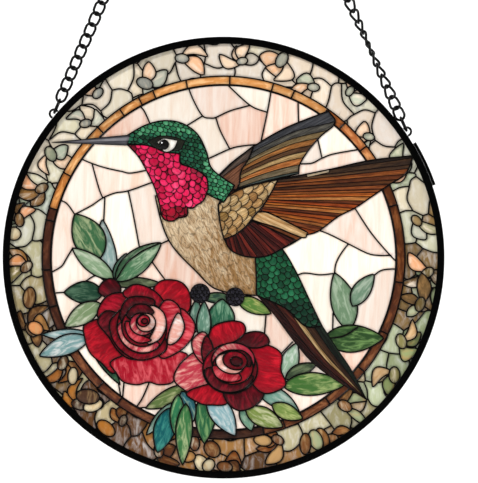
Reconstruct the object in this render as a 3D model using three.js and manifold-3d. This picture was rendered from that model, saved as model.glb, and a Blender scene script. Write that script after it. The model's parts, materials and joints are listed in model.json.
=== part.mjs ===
// A round panel of leaded glass in a black metal rim, hung from one ring by two legs of twisted chain.
// Millimetres, +Z up. The panel stands in the XZ plane and its front faces -Y.
// The origin is where the ring hangs on its hook: the inside of the top of the ring.

import * as THREE from 'three';
import { mergeVertices } from 'three/addons/utils/BufferGeometryUtils.js';
import Module from 'manifold-3d';

const wasm = await Module();
wasm.setup();
const { Manifold, Mesh } = wasm;

// Driving dimensions
const panelRadius = 100;
const glassThickness = 3;
const clearance = 0.3;
const rimWall = 1.2;
const rimBand = 3.2;
const cameWidth = 1.4;
const cameProud = 0.7;
const surfaceCameWidth = 1.1;
const borderWidth = 17.8;
const bandWidth = 4;
const sleeveThickness = 1.2;
const sleeveFrom = 19;
const sleeveTo = 31;
const hangHeight = 244;
const ringInnerRadius = 6;
const ringWire = 1.8;
const eyeWire = 1.1;
const eyeRadius = 1.9;
const eyeStand = 0.6;
const leftEyeAngle = 139.7;
const rightEyeAngle = 34.5;
const linkLength = 7.6;
const linkWidth = 5.6;
const linkWire = 1.05;
const linkBite = 0.12;
const linkTwist = 45;
const rightLegTurn = 14;

// Coarseness of the faceted solids
const rimFacets = 40;
const facetLength = 11;
const linkSides = 3;
const linkCorners = 6;
const wireSides = 6;
const ringFacets = 16;
const ovalFacets = 7;
const gridStep = 0.01;

// Sizes that follow from those
const glassRadius = panelRadius - rimWall - clearance;
const lipRadius = panelRadius - rimBand;
const slotHalf = glassThickness / 2 + clearance;
const rimHalf = slotHalf + rimWall;
const glassHalf = glassThickness / 2;
const cameHalf = glassHalf + cameProud;
const netRadius = lipRadius - clearance;
const bandOuterRadius = panelRadius - borderWidth;
const bandInnerRadius = bandOuterRadius - bandWidth;
const panelCentre = -(hangHeight + ringInnerRadius);
const ringRadius = ringInnerRadius + ringWire / 2;
const tall = 4 * cameHalf;

// How far the flat end of a faceted link, and the flat inner side of its wire, lie from the middle.
const endFlat = Math.cos(Math.PI / linkCorners);
const inside = (linkWire / 2) * endFlat * (linkSides % 2 ? Math.cos(Math.PI / linkSides) : 1);

// The picture is drawn with x to the right and z up from its centre. Its field has this many units of radius.
// Glass smaller than a square of the smallest side is left out, because the came covers it.
const fieldUnits = 78.2;
const smallestSide = 2.8;
const drawn = bandInnerRadius / fieldUnits;
const smallestPiece = glassThickness * (smallestSide * drawn) ** 2;

const finish = (color, roughness, metalness = 0) => (
  new THREE.MeshStandardMaterial({ color, roughness, metalness })
);
const blackMetal = finish('#141210', 0.45, 0.6);
const patina = finish('#241a15', 0.5, 0.7);

// Shapes in the plane of the panel

const flat = (x, z) => new THREE.Vector2(x, z);
const polar = (radius, degrees) => flat(
  radius * Math.cos(THREE.MathUtils.degToRad(degrees)),
  radius * Math.sin(THREE.MathUtils.degToRad(degrees)),
);

function circle(radius, centre = flat(0, 0), facets = rimFacets) {
  return Array.from({ length: facets }, (_, i) => polar(radius, (360 * i) / facets).add(centre));
}

// A smooth run through the given drawing points, as chords of about one facet length.
// Two points make one chord.
function run(points) {
  const knots = points.map(([x, z]) => flat(x * drawn, z * drawn));
  const curve = new THREE.SplineCurve(knots);
  const chords = Math.max(2, Math.round(curve.getLength() / facetLength));
  return curve.getPoints(knots.length > 2 ? chords : 1);
}

// A closed outline of smooth runs. Each run starts in the corner where the one before it ended.
function outline(...runs) {
  const points = [];
  runs.forEach((knots, i) => {
    const from = i ? [runs[i - 1].at(-1)] : [];
    const to = i === runs.length - 1 ? [runs[0][0]] : [];
    points.push(...run([...from, ...knots, ...to]).slice(0, -1));
  });
  return points;
}

// An oval piece: its middle and its two half sizes.
function oval(x, z, wide, high) {
  return Array.from({ length: ovalFacets }, (_, i) => {
    const unit = polar(1, (360 * i) / ovalFacets);
    return flat(unit.x * wide, unit.y * high).add(flat(x, z)).multiplyScalar(drawn);
  });
}

// A leaf from its stalk to its tip, with the widths of its left and right halves.
function leaf([x, z, tipX, tipZ, left, right]) {
  const nearStalk = { share: 0.3, swell: 0.95 };
  const nearTip = { share: 0.68, swell: 0.85 };
  const stalk = flat(x, z);
  const tip = flat(tipX, tipZ);
  const along = tip.clone().sub(stalk);
  const across = flat(-along.y, along.x).normalize();
  const edge = ({ share, swell }, width) => (
    stalk.clone().addScaledVector(along, share).addScaledVector(across, swell * width)
  );
  return [
    stalk,
    edge(nearStalk, -right),
    edge(nearTip, -right),
    tip,
    edge(nearTip, left),
    edge(nearStalk, left),
  ].map((point) => point.multiplyScalar(drawn));
}

// Solids

function solidOf(geometry) {
  geometry.deleteAttribute('normal');
  geometry.deleteAttribute('uv');
  const welded = mergeVertices(geometry, 1e-4);
  return new Manifold(new Mesh({
    numProp: 3,
    vertProperties: new Float32Array(welded.attributes.position.array),
    triVerts: new Uint32Array(welded.index.array),
  }));
}

// A mesh of a solid. Its vertices sit on a fine grid, so that no sliver is thinner than one step.
function meshOf(name, solid, material) {
  const { vertProperties, triVerts } = solid.getMesh();
  const snapped = vertProperties.map((value) => Math.round(value / gridStep) * gridStep);
  const loose = new THREE.BufferGeometry();
  loose.setAttribute('position', new THREE.BufferAttribute(snapped, 3));
  loose.setIndex(new THREE.BufferAttribute(triVerts, 1));
  const geometry = mergeVertices(loose, gridStep / 10);
  const corners = Array.from(geometry.index.array);
  const kept = corners.filter((_, i) => {
    const [a, b, c] = corners.slice(i - (i % 3), i - (i % 3) + 3);
    return a !== b && b !== c && c !== a;
  });
  geometry.setIndex(kept);
  geometry.computeVertexNormals();
  const mesh = new THREE.Mesh(geometry, material);
  mesh.name = name;
  return mesh;
}

// A plate of the given outline, from its front face at -front to its back face at back.
function plate(points, front = tall, back = tall) {
  const shape = new THREE.Shape(points);
  const geometry = new THREE.ExtrudeGeometry(shape, { depth: front + back, bevelEnabled: false });
  geometry.rotateX(Math.PI / 2).translate(0, back, 0);
  return solidOf(geometry);
}

const join = (solids) => Manifold.union(solids).asOriginal();
const nothing = () => join([]);

// The corners of a line moved sideways, kept square at a sharp corner.
function beside(line, closed, distance) {
  const sharpest = 0.35;
  const last = line.length - 1;
  return line.map((point, i) => {
    const before = line[closed ? (i + last) % line.length : Math.max(i - 1, 0)];
    const after = line[closed ? (i + 1) % line.length : Math.min(i + 1, last)];
    const coming = (before === point ? after.clone().sub(point) : point.clone().sub(before)).normalize();
    const going = (after === point ? coming.clone() : after.clone().sub(point)).normalize();
    const along = coming.clone().add(going).normalize();
    const across = flat(-along.y, along.x);
    const lean = Math.max(Math.abs(across.dot(flat(-going.y, going.x))), sharpest);
    return point.clone().addScaledVector(across, distance / lean);
  });
}

// A bar of came that follows a line, or goes round a closed one.
function bar(points, closed, width, front, back) {
  const left = beside(points, closed, width / 2);
  const right = beside(points, closed, -width / 2);
  if (!closed) return plate([...left, ...right.toReversed()], front, back);
  const size = (side) => Math.abs(THREE.ShapeUtils.area(side));
  const [inner, outer] = size(left) < size(right) ? [left, right] : [right, left];
  return plate(outer, front, back).subtract(plate(inner));
}

// The picture, from back to front. Each entry covers what it lies on.
// pieces are its outlines, through are lines cut right through it, surface are lines laid on its front.

const radial = (degrees, from, to, lean = 0) => [polar(from, degrees), polar(to, degrees + lean)];
const spokes = (angles, from, to, lean) => angles.map((degrees) => radial(degrees, from, to, lean));

// Lines that reach the edge of their glass run on past it, so that no sliver is left.
const overrun = 1.5;

const borderSplits = [112, 163, 236, 297];
const borderStones = [
  8, 19, 62, 76, 97, 124, 136, 150, 172, 184, 198, 210, 222, 248, 262, 276, 318, 330, 342, 354,
];
const bandJoints = [17, 67, 88, 113, 134, 164, 184, 226, 285, 352];

const fieldCuts = [
  [[-40, 69], [-33, 60]],
  [[-16, 78], [-10, 64.3], [-3.5, 63.4], [12, 69]],
  [[1, 78], [12, 69], [19.8, 65.8]],
  [[-10, 64.3], [-18, 59.5]],
  [[21.5, 76], [16.8, 52]],
  [[-3.5, 63.4], [3, 49.4]],
  [[-7, 44.8], [3, 49.4], [15, 51.4]],
  [[33.7, 72], [34, 60]],
  [[34, 42], [41, 42.8], [64, 49.4]],
  [[42, 55], [44.9, 44.7]],
  [[-66, 45.2], [-47, 38.9], [-34, 40]],
  [[-59.8, 42.8], [-54.8, 27.1]],
  [[-67.5, 19.5], [-54.8, 27.1], [-43, 30.3], [-31.5, 34.6]],
  [[-75, 26.2], [-67.5, 19.5]],
  [[-53.9, 27.2], [-54.4, 14]],
  [[-43, 30.3], [-38, 4]],
  [[-78.5, -7], [-72.6, -3], [-68, 5]],
  [[-33.4, -1], [-25, -12]],
  [[-29.5, 5.8], [-25, 7.6]],
  [[58.8, 23.8], [79, -2.4]],
  [[41, 13], [56.8, 6], [67, 1.4], [75.8, 1]],
  [[56.8, 6], [51.2, -2], [50.2, -9]],
  [[33, -8], [51, -7]],
  [[66, -8.6], [79, -5.2]],
  [[19.4, -24], [18, -36]],
  [[31, -37.5], [25, -44]],
  [[-48.5, -54], [-46.2, -65]],
  [[-33, -56], [-41, -69.5]],
];

// Leaves that stand alone, from stalk to tip, with the widths of their left and right halves.
const loneLeaves = {
  leaf_upper_right: [-49, -10.6, -28.4, 6.6, 5.8, 4.9],
  leaf_left_dark: [-55, -16, -72, -16, 4.9, 5.2],
  leaf_left_pale: [-56, -21, -72, -31, 4.2, 4.2],
  leaf_lower_left: [-61, -37, -83.5, -45, 3.4, 6.2],
  leaf_right_broad: [45.5, -36, 72.5, -36.5, 6.2, 7],
  leaf_under_foot: [6.5, -19, 21.4, -25.4, 4, 2.8],
};

// Sprays of leaves that are leaded together, each with the lines between its leaves.
const sprays = {
  leaves_upper_left: {
    edge: outline(
      [[-67.6, 19.8], [-55, 17]],
      [[-50, 9], [-48.6, 2], [-50, -9.6]],
      [[-60, -6.4], [-68.4, 4.2]],
      [[-69, 11]],
    ),
    lines: [[[-55.2, 18], [-57, 5], [-49.6, -10]], [[-69, 4.2], [-55.6, 0.4]]],
  },
  leaves_lower_left: {
    edge: outline(
      [[-18, -58], [-27, -61], [-35.2, -68]], [[-29, -69.5]], [[-34.8, -80]], [[-33.4, -83], [-30, -88]],
      [[-23.6, -81]], [[-22, -86], [-18.4, -93.5]], [[-15, -81], [-16, -73]], [[-13, -74.2]], [[-11, -65]],
    ),
    lines: [[[-17, -60], [-30, -71]], [[-22, -63], [-24, -82]], [[-18, -58], [-16, -74]]],
  },
  leaves_lower_middle: {
    edge: outline(
      [[-11, -64], [-12.4, -73], [-9.6, -83.8]], [[-3.6, -79], [4.6, -81]], [[11.6, -79]], [[11, -66]], [],
    ),
    lines: [[[-8, -64], [-3.4, -80]], [[4, -66], [6.2, -82]]],
  },
  leaves_lower_right: {
    edge: outline(
      [[9.6, -67], [12, -76], [19, -77.4], [27, -75.6]],
      [[35.6, -72.4]],
      [[31, -65], [26, -59]],
      [[16, -60]],
    ),
    lines: [[[19, -65], [25.4, -77]], [[14, -66], [24, -66], [36, -73]]],
  },
  leaves_by_tail: {
    edge: outline(
      [[26, -58], [26.4, -43.6], [33, -39]], [[42, -48.6]], [[55, -57.6]], [[44, -62.4], [30, -62.4]],
    ),
    lines: [[[27, -56.4], [37.4, -44]], [[28, -55], [43, -49.6]]],
  },
  leaves_right: {
    edge: outline(
      [[57, -32], [48.6, -23], [47.4, -16], [50.2, -7]], [[58, -15]], [[61.6, -9.6], [68, -7.8]],
      [[66.2, -16], [61.2, -20.4]],
    ),
    lines: [[[57, -14], [61.6, -21.4]]],
  },
  leaves_between_roses: {
    edge: outline([[-15, -24], [-10, -17], [3, -17]], [[6, -25], [4, -32]], [[-8, -37], [-14, -31]]),
    lines: [[[-9, -18], [-5.4, -33]], [[-8, -20.6], [6, -20.6]]],
  },
};

// A rose: its middle, and the direction in degrees and the reach of the crown of each outer petal.
const leftRose = {
  middle: [-37, -31],
  crowns: [[136, 25.5], [98, 19.5], [50, 25], [15, 22.8], [-18, 24.5], [-62, 28.5], [-98, 26], [-131, 24.5],
    [-156, 28], [-182, 25]],
};
const rightRose = {
  middle: [5, -47.5],
  crowns: [[154, 21.4], [96, 18.3], [48, 18.1], [4, 21.6], [-25.5, 25.5], [-78, 22], [-126, 23.6],
    [-162, 28.7]],
};

const about = ([x, z], reach, degrees) => polar(reach, degrees).add(flat(x, z)).multiplyScalar(drawn);

// The notch between two neighbouring petals lies a little inside their crowns.
function notches(crowns) {
  const depth = 0.9;
  return crowns.map(([degrees, reach], i) => {
    const [nextDegrees, nextReach] = crowns[(i + 1) % crowns.length];
    const past = nextDegrees > degrees ? nextDegrees - 360 : nextDegrees;
    return [(degrees + past) / 2, (depth * (reach + nextReach)) / 2];
  });
}

function roseOutline({ middle, crowns }) {
  const between = notches(crowns);
  return crowns.flatMap(([degrees, reach], i) => [
    about(middle, reach, degrees),
    about(middle, between[i][1], between[i][0]),
  ]);
}

// The edges of the petals: a spiral out from the heart, and a line from it to each notch.
function roseLines({ middle, crowns }) {
  const turns = 1.5;
  const cornersPerTurn = 6;
  const heart = 2.5;
  const rim = 13;
  const insideRim = 11;
  const lean = 14;
  const winding = Array.from({ length: turns * cornersPerTurn + 1 }, (_, i) => about(
    middle,
    heart + ((rim - heart) * i) / (turns * cornersPerTurn),
    (360 * i) / cornersPerTurn,
  ));
  const edges = notches(crowns).map(([degrees, reach]) => [
    about(middle, insideRim, degrees + lean), about(middle, reach, degrees),
  ]);
  return [winding, ...edges];
}

const nearWing = outline(
  [[2, 29.5], [12, 32.8], [24, 35], [47, 40.5], [66, 44.4], [86, 46.2]],
  [[85.6, 42.6], [71, 31.2], [59, 23], [46, 15.5], [37, 9.4], [26, 4.6]],
  [[15, 0.2], [7, 0.8], [0.2, 8.4]],
  [[-2.4, 23]],
);
const secondaries = outline(
  [[4, 12], [0.2, 8.4], [7, 0.8], [15, 0.2], [26, 4.6], [35, 8.8]],
  [[14, 18.6]],
  [],
);
const paleFeather = outline([[12, 18.4], [24, 13.6], [34, 9.3], [39, 10.6]], [[27, 17], [15, 21.5]], []);
const coverts = outline(
  [[-2.4, 23], [4, 28.4], [12, 32.8], [24, 35]],
  [[20, 27], [13.5, 17], [6, 10.8], [0.2, 8.4]],
  [],
);

const line = (...points) => points.map(([x, z]) => flat(x * drawn, z * drawn));
const fan = (starts, ends) => starts.map((start, i) => line(start, ends[i]));

const picture = [
  {
    name: 'border_glass', color: '#cbc3a4', rimmed: false, pieces: [circle(panelRadius)],
    through: spokes(borderSplits, bandOuterRadius - overrun, glassRadius + overrun, 4),
    surface: spokes(borderStones, bandOuterRadius - overrun, glassRadius, -3),
  },
  {
    name: 'band_glass', color: '#9a5c34', pieces: [circle(bandOuterRadius)],
    surface: spokes(bandJoints, bandInnerRadius - overrun, bandOuterRadius + overrun),
  },
  {
    name: 'field_glass', color: '#fbeee6', pieces: [circle(bandInnerRadius)],
    surface: fieldCuts.map((points) => line(...points)),
  },
  ...Object.entries(loneLeaves).map(([name, form]) => ({ name, color: '#4f8a58', pieces: [leaf(form)] })),
  ...Object.entries(sprays).map(([name, { edge, lines }]) => (
    { name, color: '#7fa382', pieces: [edge], surface: lines.map((points) => line(...points)) }
  )),
  {
    name: 'far_wing', color: '#7a5535',
    pieces: [outline(
      [[-2, 36.5], [6, 43.5], [16, 52.4], [32, 60.5], [47.5, 66.4]],
      [[54, 61.4]],
      [[46, 57], [38, 47], [33.4, 36]],
      [[20, 31], [4, 27]],
      [],
    )],
    surface: fan([[10, 48], [9, 42], [8, 37], [7, 34]], [[54, 64], [48, 58], [41, 49], [36, 42]]),
  },
  {
    name: 'wrist', color: '#5c4130',
    pieces: [outline([[-2, 36.5], [6, 43.5], [12, 49]], [[9.4, 40], [6, 30]], [])],
  },
  {
    name: 'tail', color: '#33180f',
    pieces: [outline(
      [[15, -17], [24, -26.5], [34, -40], [46, -52], [65, -64.4]],
      [[56, -48.5], [43, -27.5], [34, -12]],
      [],
    )],
    surface: fan([[22, -16], [27, -16]], [[54, -58], [61, -60]]),
  },
  {
    name: 'rump', color: '#1f6b45',
    pieces: [outline(
      [[24, 8], [31, -5], [38, -17], [45, -30.5]],
      [[38, -32], [29, -23.6], [15, -17]],
      [[14.6, 6]],
      [],
    )],
  },
  {
    name: 'breast', color: '#bd9f78',
    pieces: [outline(
      [[-31, 28], [-28.5, 17], [-25.5, 7], [-20, 0], [-12, -8], [-4, -14.5], [2, -16.2]],
      [[9, -15.6], [15, -17]],
      [[14.8, -8], [14.4, 4]],
      [[0, 30]],
      [],
    )],
  },
  {
    name: 'near_wing', color: '#8d4a22', pieces: [nearWing],
    surface: fan(
      [[20, 34], [19, 32], [18, 28], [17, 24], [15, 21.5]],
      [[86, 45], [80, 37], [66, 27], [52, 19], [41, 12]],
    ),
  },
  {
    name: 'secondaries', color: '#4d1c18', pieces: [secondaries],
    surface: fan([[4, 11], [8, 13], [12, 16]], [[8, -1], [18, -1], [30, 3]]),
  },
  { name: 'pale_feather', color: '#cda678', pieces: [paleFeather] },
  {
    name: 'coverts', color: '#c9a270', pieces: [coverts],
    surface: [
      run([[8, 31.5], [6, 24], [0, 20]]), run([[14, 34], [12, 22], [2, 12]]), run([[19, 35], [16, 22], [7, 10]]),
    ],
  },
  {
    name: 'head', color: '#1f6b45',
    pieces: [outline(
      [[-43.4, 55.4], [-34, 60.8], [-26, 62], [-17.5, 60], [-10.5, 54], [-6.5, 45], [-2, 37], [5, 30.4]],
      [[0, 24.8]],
      [[-12, 32], [-20, 44]],
      [[-43.6, 51]],
      [],
    )],
  },
  {
    name: 'gorget', color: '#d5174c',
    pieces: [outline(
      [[-45.4, 51], [-36, 51.6], [-30, 49.6], [-20.4, 47.6]],
      [[-17, 42], [-8, 37], [-6.6, 31], [-11, 26.6], [-15.4, 22.8], [-19, 18.8], [-25, 17.2],
        [-29.2, 19.6]],
      [[-32.4, 33.5], [-38, 44.5]],
    )],
  },
  { name: 'eye', color: '#f2ece4', pieces: [outline([[-30.6, 50.6], [-27, 54.2], [-20.6, 53]], [[-23, 48.4]])] },
  { name: 'beak', color: '#6d6a6c', pieces: [outline([[-43.2, 55.5], [-77, 51.9]], [[-43.2, 50.6]], [])] },
  { name: 'left_rose', color: '#b3102c', pieces: [roseOutline(leftRose)], surface: roseLines(leftRose) },
  { name: 'right_rose', color: '#b3102c', pieces: [roseOutline(rightRose)], surface: roseLines(rightRose) },
  { name: 'left_foot', color: '#26242c', pieces: [oval(-10.6, -16.2, 4.6, 4.4)] },
  { name: 'right_foot', color: '#26242c', pieces: [oval(5, -17.8, 4.2, 4.6)] },
];

// Came and glass: what lies in front of an entry hides its lines and takes its glass away.

function cameOf({ rimmed = true, pieces, through = [], surface = [] }, hidden, width) {
  const cover = join(pieces.map((points) => plate(points)));
  const edges = rimmed ? pieces.map((points) => bar(points, true, width, cameHalf, cameHalf)) : [];
  const cuts = through.map((points) => bar(points, false, width, cameHalf, cameHalf).intersect(cover));
  const laid = surface
    .map((points) => bar(points, false, surfaceCameWidth, cameHalf, -glassHalf).intersect(cover));
  return {
    cover,
    through: join([...edges, ...cuts]).subtract(hidden),
    surface: join(laid).subtract(hidden),
  };
}

// What an entry hides of the came behind it. That came ends under the entry's own, not on its middle line.
function clearOf({ rimmed = true, pieces }, cover) {
  const kept = rimmed ? pieces.map((points) => bar(points, true, cameWidth / 2, tall, tall)) : [];
  return cover.subtract(join(kept));
}

function panel() {
  const bars = [];
  const channels = [];
  const sheets = [];
  let hidden = nothing();
  let covered = nothing();
  for (const entry of picture.toReversed()) {
    const came = cameOf(entry, hidden, cameWidth);
    bars.push(came.through, came.surface);
    channels.push(cameOf(entry, hidden, cameWidth + 2 * clearance).through);
    sheets.push({ entry, cover: came.cover.subtract(covered) });
    hidden = hidden.add(clearOf(entry, came.cover));
    covered = covered.add(came.cover);
  }
  const net = join(bars).intersect(plate(circle(netRadius)));
  const disc = plate(circle(glassRadius), glassHalf, glassHalf).subtract(join(channels));
  const glass = sheets.toReversed().flatMap(({ entry, cover }) => {
    const parts = disc.intersect(cover).decompose().filter((part) => part.volume() > smallestPiece);
    return parts.map((part, i) => meshOf(
      parts.length > 1 ? `${entry.name}_${i + 1}` : entry.name, part, finish(entry.color, 0.2),
    ));
  });
  return [meshOf('came_net', net, patina), ...glass];
}

// The rim: a channel whose lips hold the edge of the glass, and the sleeve over its joint.

function rim() {
  const section = [
    [lipRadius, -rimHalf], [panelRadius, -rimHalf], [panelRadius, rimHalf], [lipRadius, rimHalf],
    [lipRadius, slotHalf], [glassRadius + clearance, slotHalf],
    [glassRadius + clearance, -slotHalf], [lipRadius, -slotHalf], [lipRadius, -rimHalf],
  ].map(([radius, y]) => flat(radius, y));
  return meshOf('rim_frame', solidOf(new THREE.LatheGeometry(section, rimFacets)), blackMetal);
}

function sleeve() {
  const steps = 4;
  const arc = (radius) => Array.from(
    { length: steps + 1 },
    (_, i) => polar(radius, sleeveFrom + ((sleeveTo - sleeveFrom) * i) / steps),
  );
  const inner = arc(panelRadius + clearance);
  const outer = arc(panelRadius + clearance + sleeveThickness);
  return meshOf('rim_joint_sleeve', plate([...inner, ...outer.toReversed()], rimHalf, rimHalf), blackMetal);
}

// A round wire along a path in the plane of the panel.
function wire(path, diameter, steps) {
  const section = new THREE.Shape(circle(diameter / 2, flat(0, 0), wireSides));
  return solidOf(new THREE.ExtrudeGeometry(section, { extrudePath: path, steps, bevelEnabled: false }));
}

const place = (point) => new THREE.Vector3(point.x, 0, point.y);
const eyeCentre = (angle) => polar(panelRadius + clearance + eyeStand, angle);

function eye(name, angle) {
  const corners = 6;
  const path = new THREE.CurvePath();
  const out = polar(1, angle);
  const centre = eyeCentre(angle);
  const side = (degrees) => centre.clone().add(polar(eyeRadius, angle + degrees));
  const foot = (degrees) => side(degrees).addScaledVector(out, -eyeStand);
  const round = Array.from({ length: corners + 1 }, (_, i) => side(-90 + (180 * i) / corners));
  const stops = [foot(-90), ...round, foot(90)];
  stops.slice(1).forEach((stop, i) => path.add(new THREE.LineCurve3(place(stops[i]), place(stop))));
  return meshOf(name, wire(path, eyeWire, 2 * corners), blackMetal);
}

// One link of the chain, along Y, with its ends twisted to lie across its neighbours.
function link(length, twist) {
  const bend = (linkWidth - linkWire) / 2;
  const straight = (length - linkWire) / 2 - bend * endFlat;
  const geometry = new THREE.TorusGeometry(bend, linkWire / 2, linkSides, linkCorners);
  const position = geometry.attributes.position;
  const vertex = new THREE.Vector3();
  for (let i = 0; i < position.count; i += 1) {
    vertex.fromBufferAttribute(position, i);
    vertex.y += Math.abs(vertex.y) < linkWire / 2 ? 0 : Math.sign(vertex.y) * straight;
    const turn = THREE.MathUtils.degToRad((twist * 2 * vertex.y) / length);
    vertex.applyAxisAngle(new THREE.Vector3(0, 1, 0), turn);
    position.setXYZ(i, vertex.x, vertex.y, vertex.z);
  }
  return geometry;
}

// A leg of chain from the ring to one eye. The first and last links lie flat, square to what they hold.
function chainLeg(name, eyeAngle, turnPerLink) {
  const top = flat(0, hangHeight);
  const eyeMiddle = eyeCentre(eyeAngle);
  const down = eyeMiddle.clone().sub(top).normalize();
  const reach = (length) => (length - linkWire) / 2 - inside;
  const start = top.clone().addScaledVector(down, ringRadius - ringWire / 2 - clearance);
  const end = eyeMiddle.clone().addScaledVector(down, -(eyeRadius - eyeWire / 2 - clearance));
  const span = start.distanceTo(end);
  const count = Math.round(span / (2 * reach(linkLength) + linkBite));
  const pitch = span / count;
  const length = pitch - linkBite + linkWire + 2 * inside;
  const slope = Math.atan2(down.x, -down.y);
  const links = Array.from({ length: count }, (_, i) => {
    const last = i === 0 || i === count - 1;
    const turn = last ? Math.PI / 2 : THREE.MathUtils.degToRad(turnPerLink * (count - 2 - i));
    const middle = start.clone().addScaledVector(down, reach(length) + pitch * i);
    return solidOf(link(length, last ? 0 : linkTwist)
      .rotateY(turn)
      .rotateX(Math.PI / 2)
      .rotateY(-slope)
      .translate(middle.x, 0, middle.y));
  });
  return meshOf(name, join(links), blackMetal);
}

function topRing() {
  const geometry = new THREE.TorusGeometry(ringRadius, ringWire / 2, wireSides, ringFacets);
  geometry.rotateX(Math.PI / 2).translate(0, 0, -ringInnerRadius);
  return meshOf('top_ring', solidOf(geometry), blackMetal);
}

const hung = new THREE.Group();
hung.position.z = panelCentre;
hung.add(
  rim(),
  sleeve(),
  eye('left_eye', leftEyeAngle),
  eye('right_eye', rightEyeAngle),
  chainLeg('chain_left', leftEyeAngle, 0),
  chainLeg('chain_right', rightEyeAngle, rightLegTurn),
  ...panel(),
);

const suncatcher = new THREE.Group();
suncatcher.add(topRing(), hung);

export default suncatcher;
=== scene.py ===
"""A round panel of leaded glass in a black metal rim, hung from one ring by two legs of twisted chain.

The picture is a list of closed outlines, laid over each other from back to front. It is cut into pieces
of glass along every outline that shows, and a bead of lead runs along every cut. All sizes of the picture
are millimetres from the panel's centre, with x to the right and z up, as seen from the front.
"""

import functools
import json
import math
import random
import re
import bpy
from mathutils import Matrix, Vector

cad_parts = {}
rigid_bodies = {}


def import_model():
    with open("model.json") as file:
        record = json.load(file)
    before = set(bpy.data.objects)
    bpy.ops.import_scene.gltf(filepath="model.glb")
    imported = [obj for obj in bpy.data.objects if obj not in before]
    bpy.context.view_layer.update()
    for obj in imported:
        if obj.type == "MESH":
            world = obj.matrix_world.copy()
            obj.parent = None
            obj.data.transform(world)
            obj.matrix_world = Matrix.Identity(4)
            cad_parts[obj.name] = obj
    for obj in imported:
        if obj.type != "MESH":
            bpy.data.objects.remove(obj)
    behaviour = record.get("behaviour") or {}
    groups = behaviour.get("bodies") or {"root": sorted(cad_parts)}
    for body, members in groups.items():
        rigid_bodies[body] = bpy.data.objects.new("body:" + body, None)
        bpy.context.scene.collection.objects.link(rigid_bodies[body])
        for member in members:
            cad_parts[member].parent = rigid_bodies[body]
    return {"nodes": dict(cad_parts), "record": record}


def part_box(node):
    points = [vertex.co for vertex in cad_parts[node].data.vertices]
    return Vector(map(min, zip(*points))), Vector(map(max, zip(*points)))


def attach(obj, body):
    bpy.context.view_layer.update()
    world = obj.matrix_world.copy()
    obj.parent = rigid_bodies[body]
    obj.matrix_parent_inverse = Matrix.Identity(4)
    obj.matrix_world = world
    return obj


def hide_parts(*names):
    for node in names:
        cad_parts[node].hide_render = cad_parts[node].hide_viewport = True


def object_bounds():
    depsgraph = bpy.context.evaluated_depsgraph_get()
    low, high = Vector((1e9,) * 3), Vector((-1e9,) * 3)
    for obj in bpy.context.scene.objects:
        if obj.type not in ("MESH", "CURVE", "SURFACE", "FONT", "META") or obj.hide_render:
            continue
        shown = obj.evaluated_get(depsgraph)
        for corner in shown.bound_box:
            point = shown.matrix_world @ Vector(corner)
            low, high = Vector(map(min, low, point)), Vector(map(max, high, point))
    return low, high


bl_info = {
    "name": "Stained Glass Suncatcher",
    "version": (1, 0, 0),
    "blender": (4, 5, 0),
    "location": "View3D > Sidebar > Suncatcher",
    "description": "Models a leaded glass panel with its rim, hanging ring and chain",
    "category": "Add Mesh",
}

from collections import defaultdict, namedtuple

import bmesh
import bpy
import numpy as np
from mathutils import Matrix, Vector
from mathutils.geometry import delaunay_2d_cdt
from mathutils.kdtree import KDTree

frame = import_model()
cad_low, cad_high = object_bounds()

MM = 0.001

# The panel's middle in metres, and its sizes in millimetres. GLASS_HALF, CAME_HALF and RIM_HALF are half
# depths.
rim_low, rim_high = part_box("rim_frame")
_, glass_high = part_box("breast")
_, came_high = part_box("came_net")
ring_low, ring_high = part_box("top_ring")
PANEL = Vector((0, 0, (rim_low.z + rim_high.z) / 2))
PANEL_RADIUS = (rim_high.z - rim_low.z) / 2 / MM
GLASS_HALF = glass_high.y / MM
CAME_HALF = came_high.y / MM
RIM_HALF = rim_high.y / MM
RING_RADIUS = (ring_high.x - ring_low.x) / 2 / MM

GLASS_RADIUS = 98.5
LIP_RADIUS = 96.8
BAND_OUTER = 82.2
BAND_INNER = 78.2

# The spacing of points on lines, inside pieces, and inside scales.
STEP = 1.1
FILL_STEP = 1.7
FINE_FILL_STEP = 0.9

Patch = namedtuple("Patch", "group outline tint streak grain base tip swell lead within palette")
Cut = namedtuple("Cut", "group points lead")
Panel = namedtuple("Panel", "patches points triangles patch_of cell_of leads closeness")


# Settings

def length_property(name, description, default, low, high):
    return bpy.props.FloatProperty(
        name=name, description=description, default=default, min=low, max=high, unit="LENGTH")


def hex_colour(code):
    """An sRGB hex value as linear red, green and blue."""
    channels = [int(code[i:i + 2], 16) / 255 for i in (1, 3, 5)]
    return tuple(c / 12.92 if c <= 0.04045 else ((c + 0.055) / 1.055) ** 2.4 for c in channels)


def colour_property(name, description, code):
    return bpy.props.FloatVectorProperty(
        name=name, description=description, default=hex_colour(code), subtype="COLOR", size=3, min=0, max=1)


class SuncatcherSizes(bpy.types.PropertyGroup):
    band_lead_width: length_property(
        "Band lead width", "Width of the lead on both sides of the amber band", 0.0014, 0.0005, 0.004)
    lead_width: length_property("Lead width", "Width of the lead between two pieces", 0.00105, 0.0004, 0.004)
    fine_lead_width: length_property(
        "Fine lead width", "Width of the lead between scales and feathers", 0.00058, 0.0002, 0.002)
    link_length: length_property("Link length", "Length of one chain link outside", 0.0076, 0.004, 0.02)
    link_width: length_property("Link width", "Width of one chain link outside", 0.0056, 0.003, 0.012)
    link_wire: length_property("Link wire", "Thickness of the chain's wire", 0.0012, 0.0004, 0.003)
    link_twist: bpy.props.FloatProperty(
        name="Link twist", description="Turn between the two ends of a link", default=math.radians(90),
        min=0, max=math.pi, subtype="ANGLE")


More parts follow.
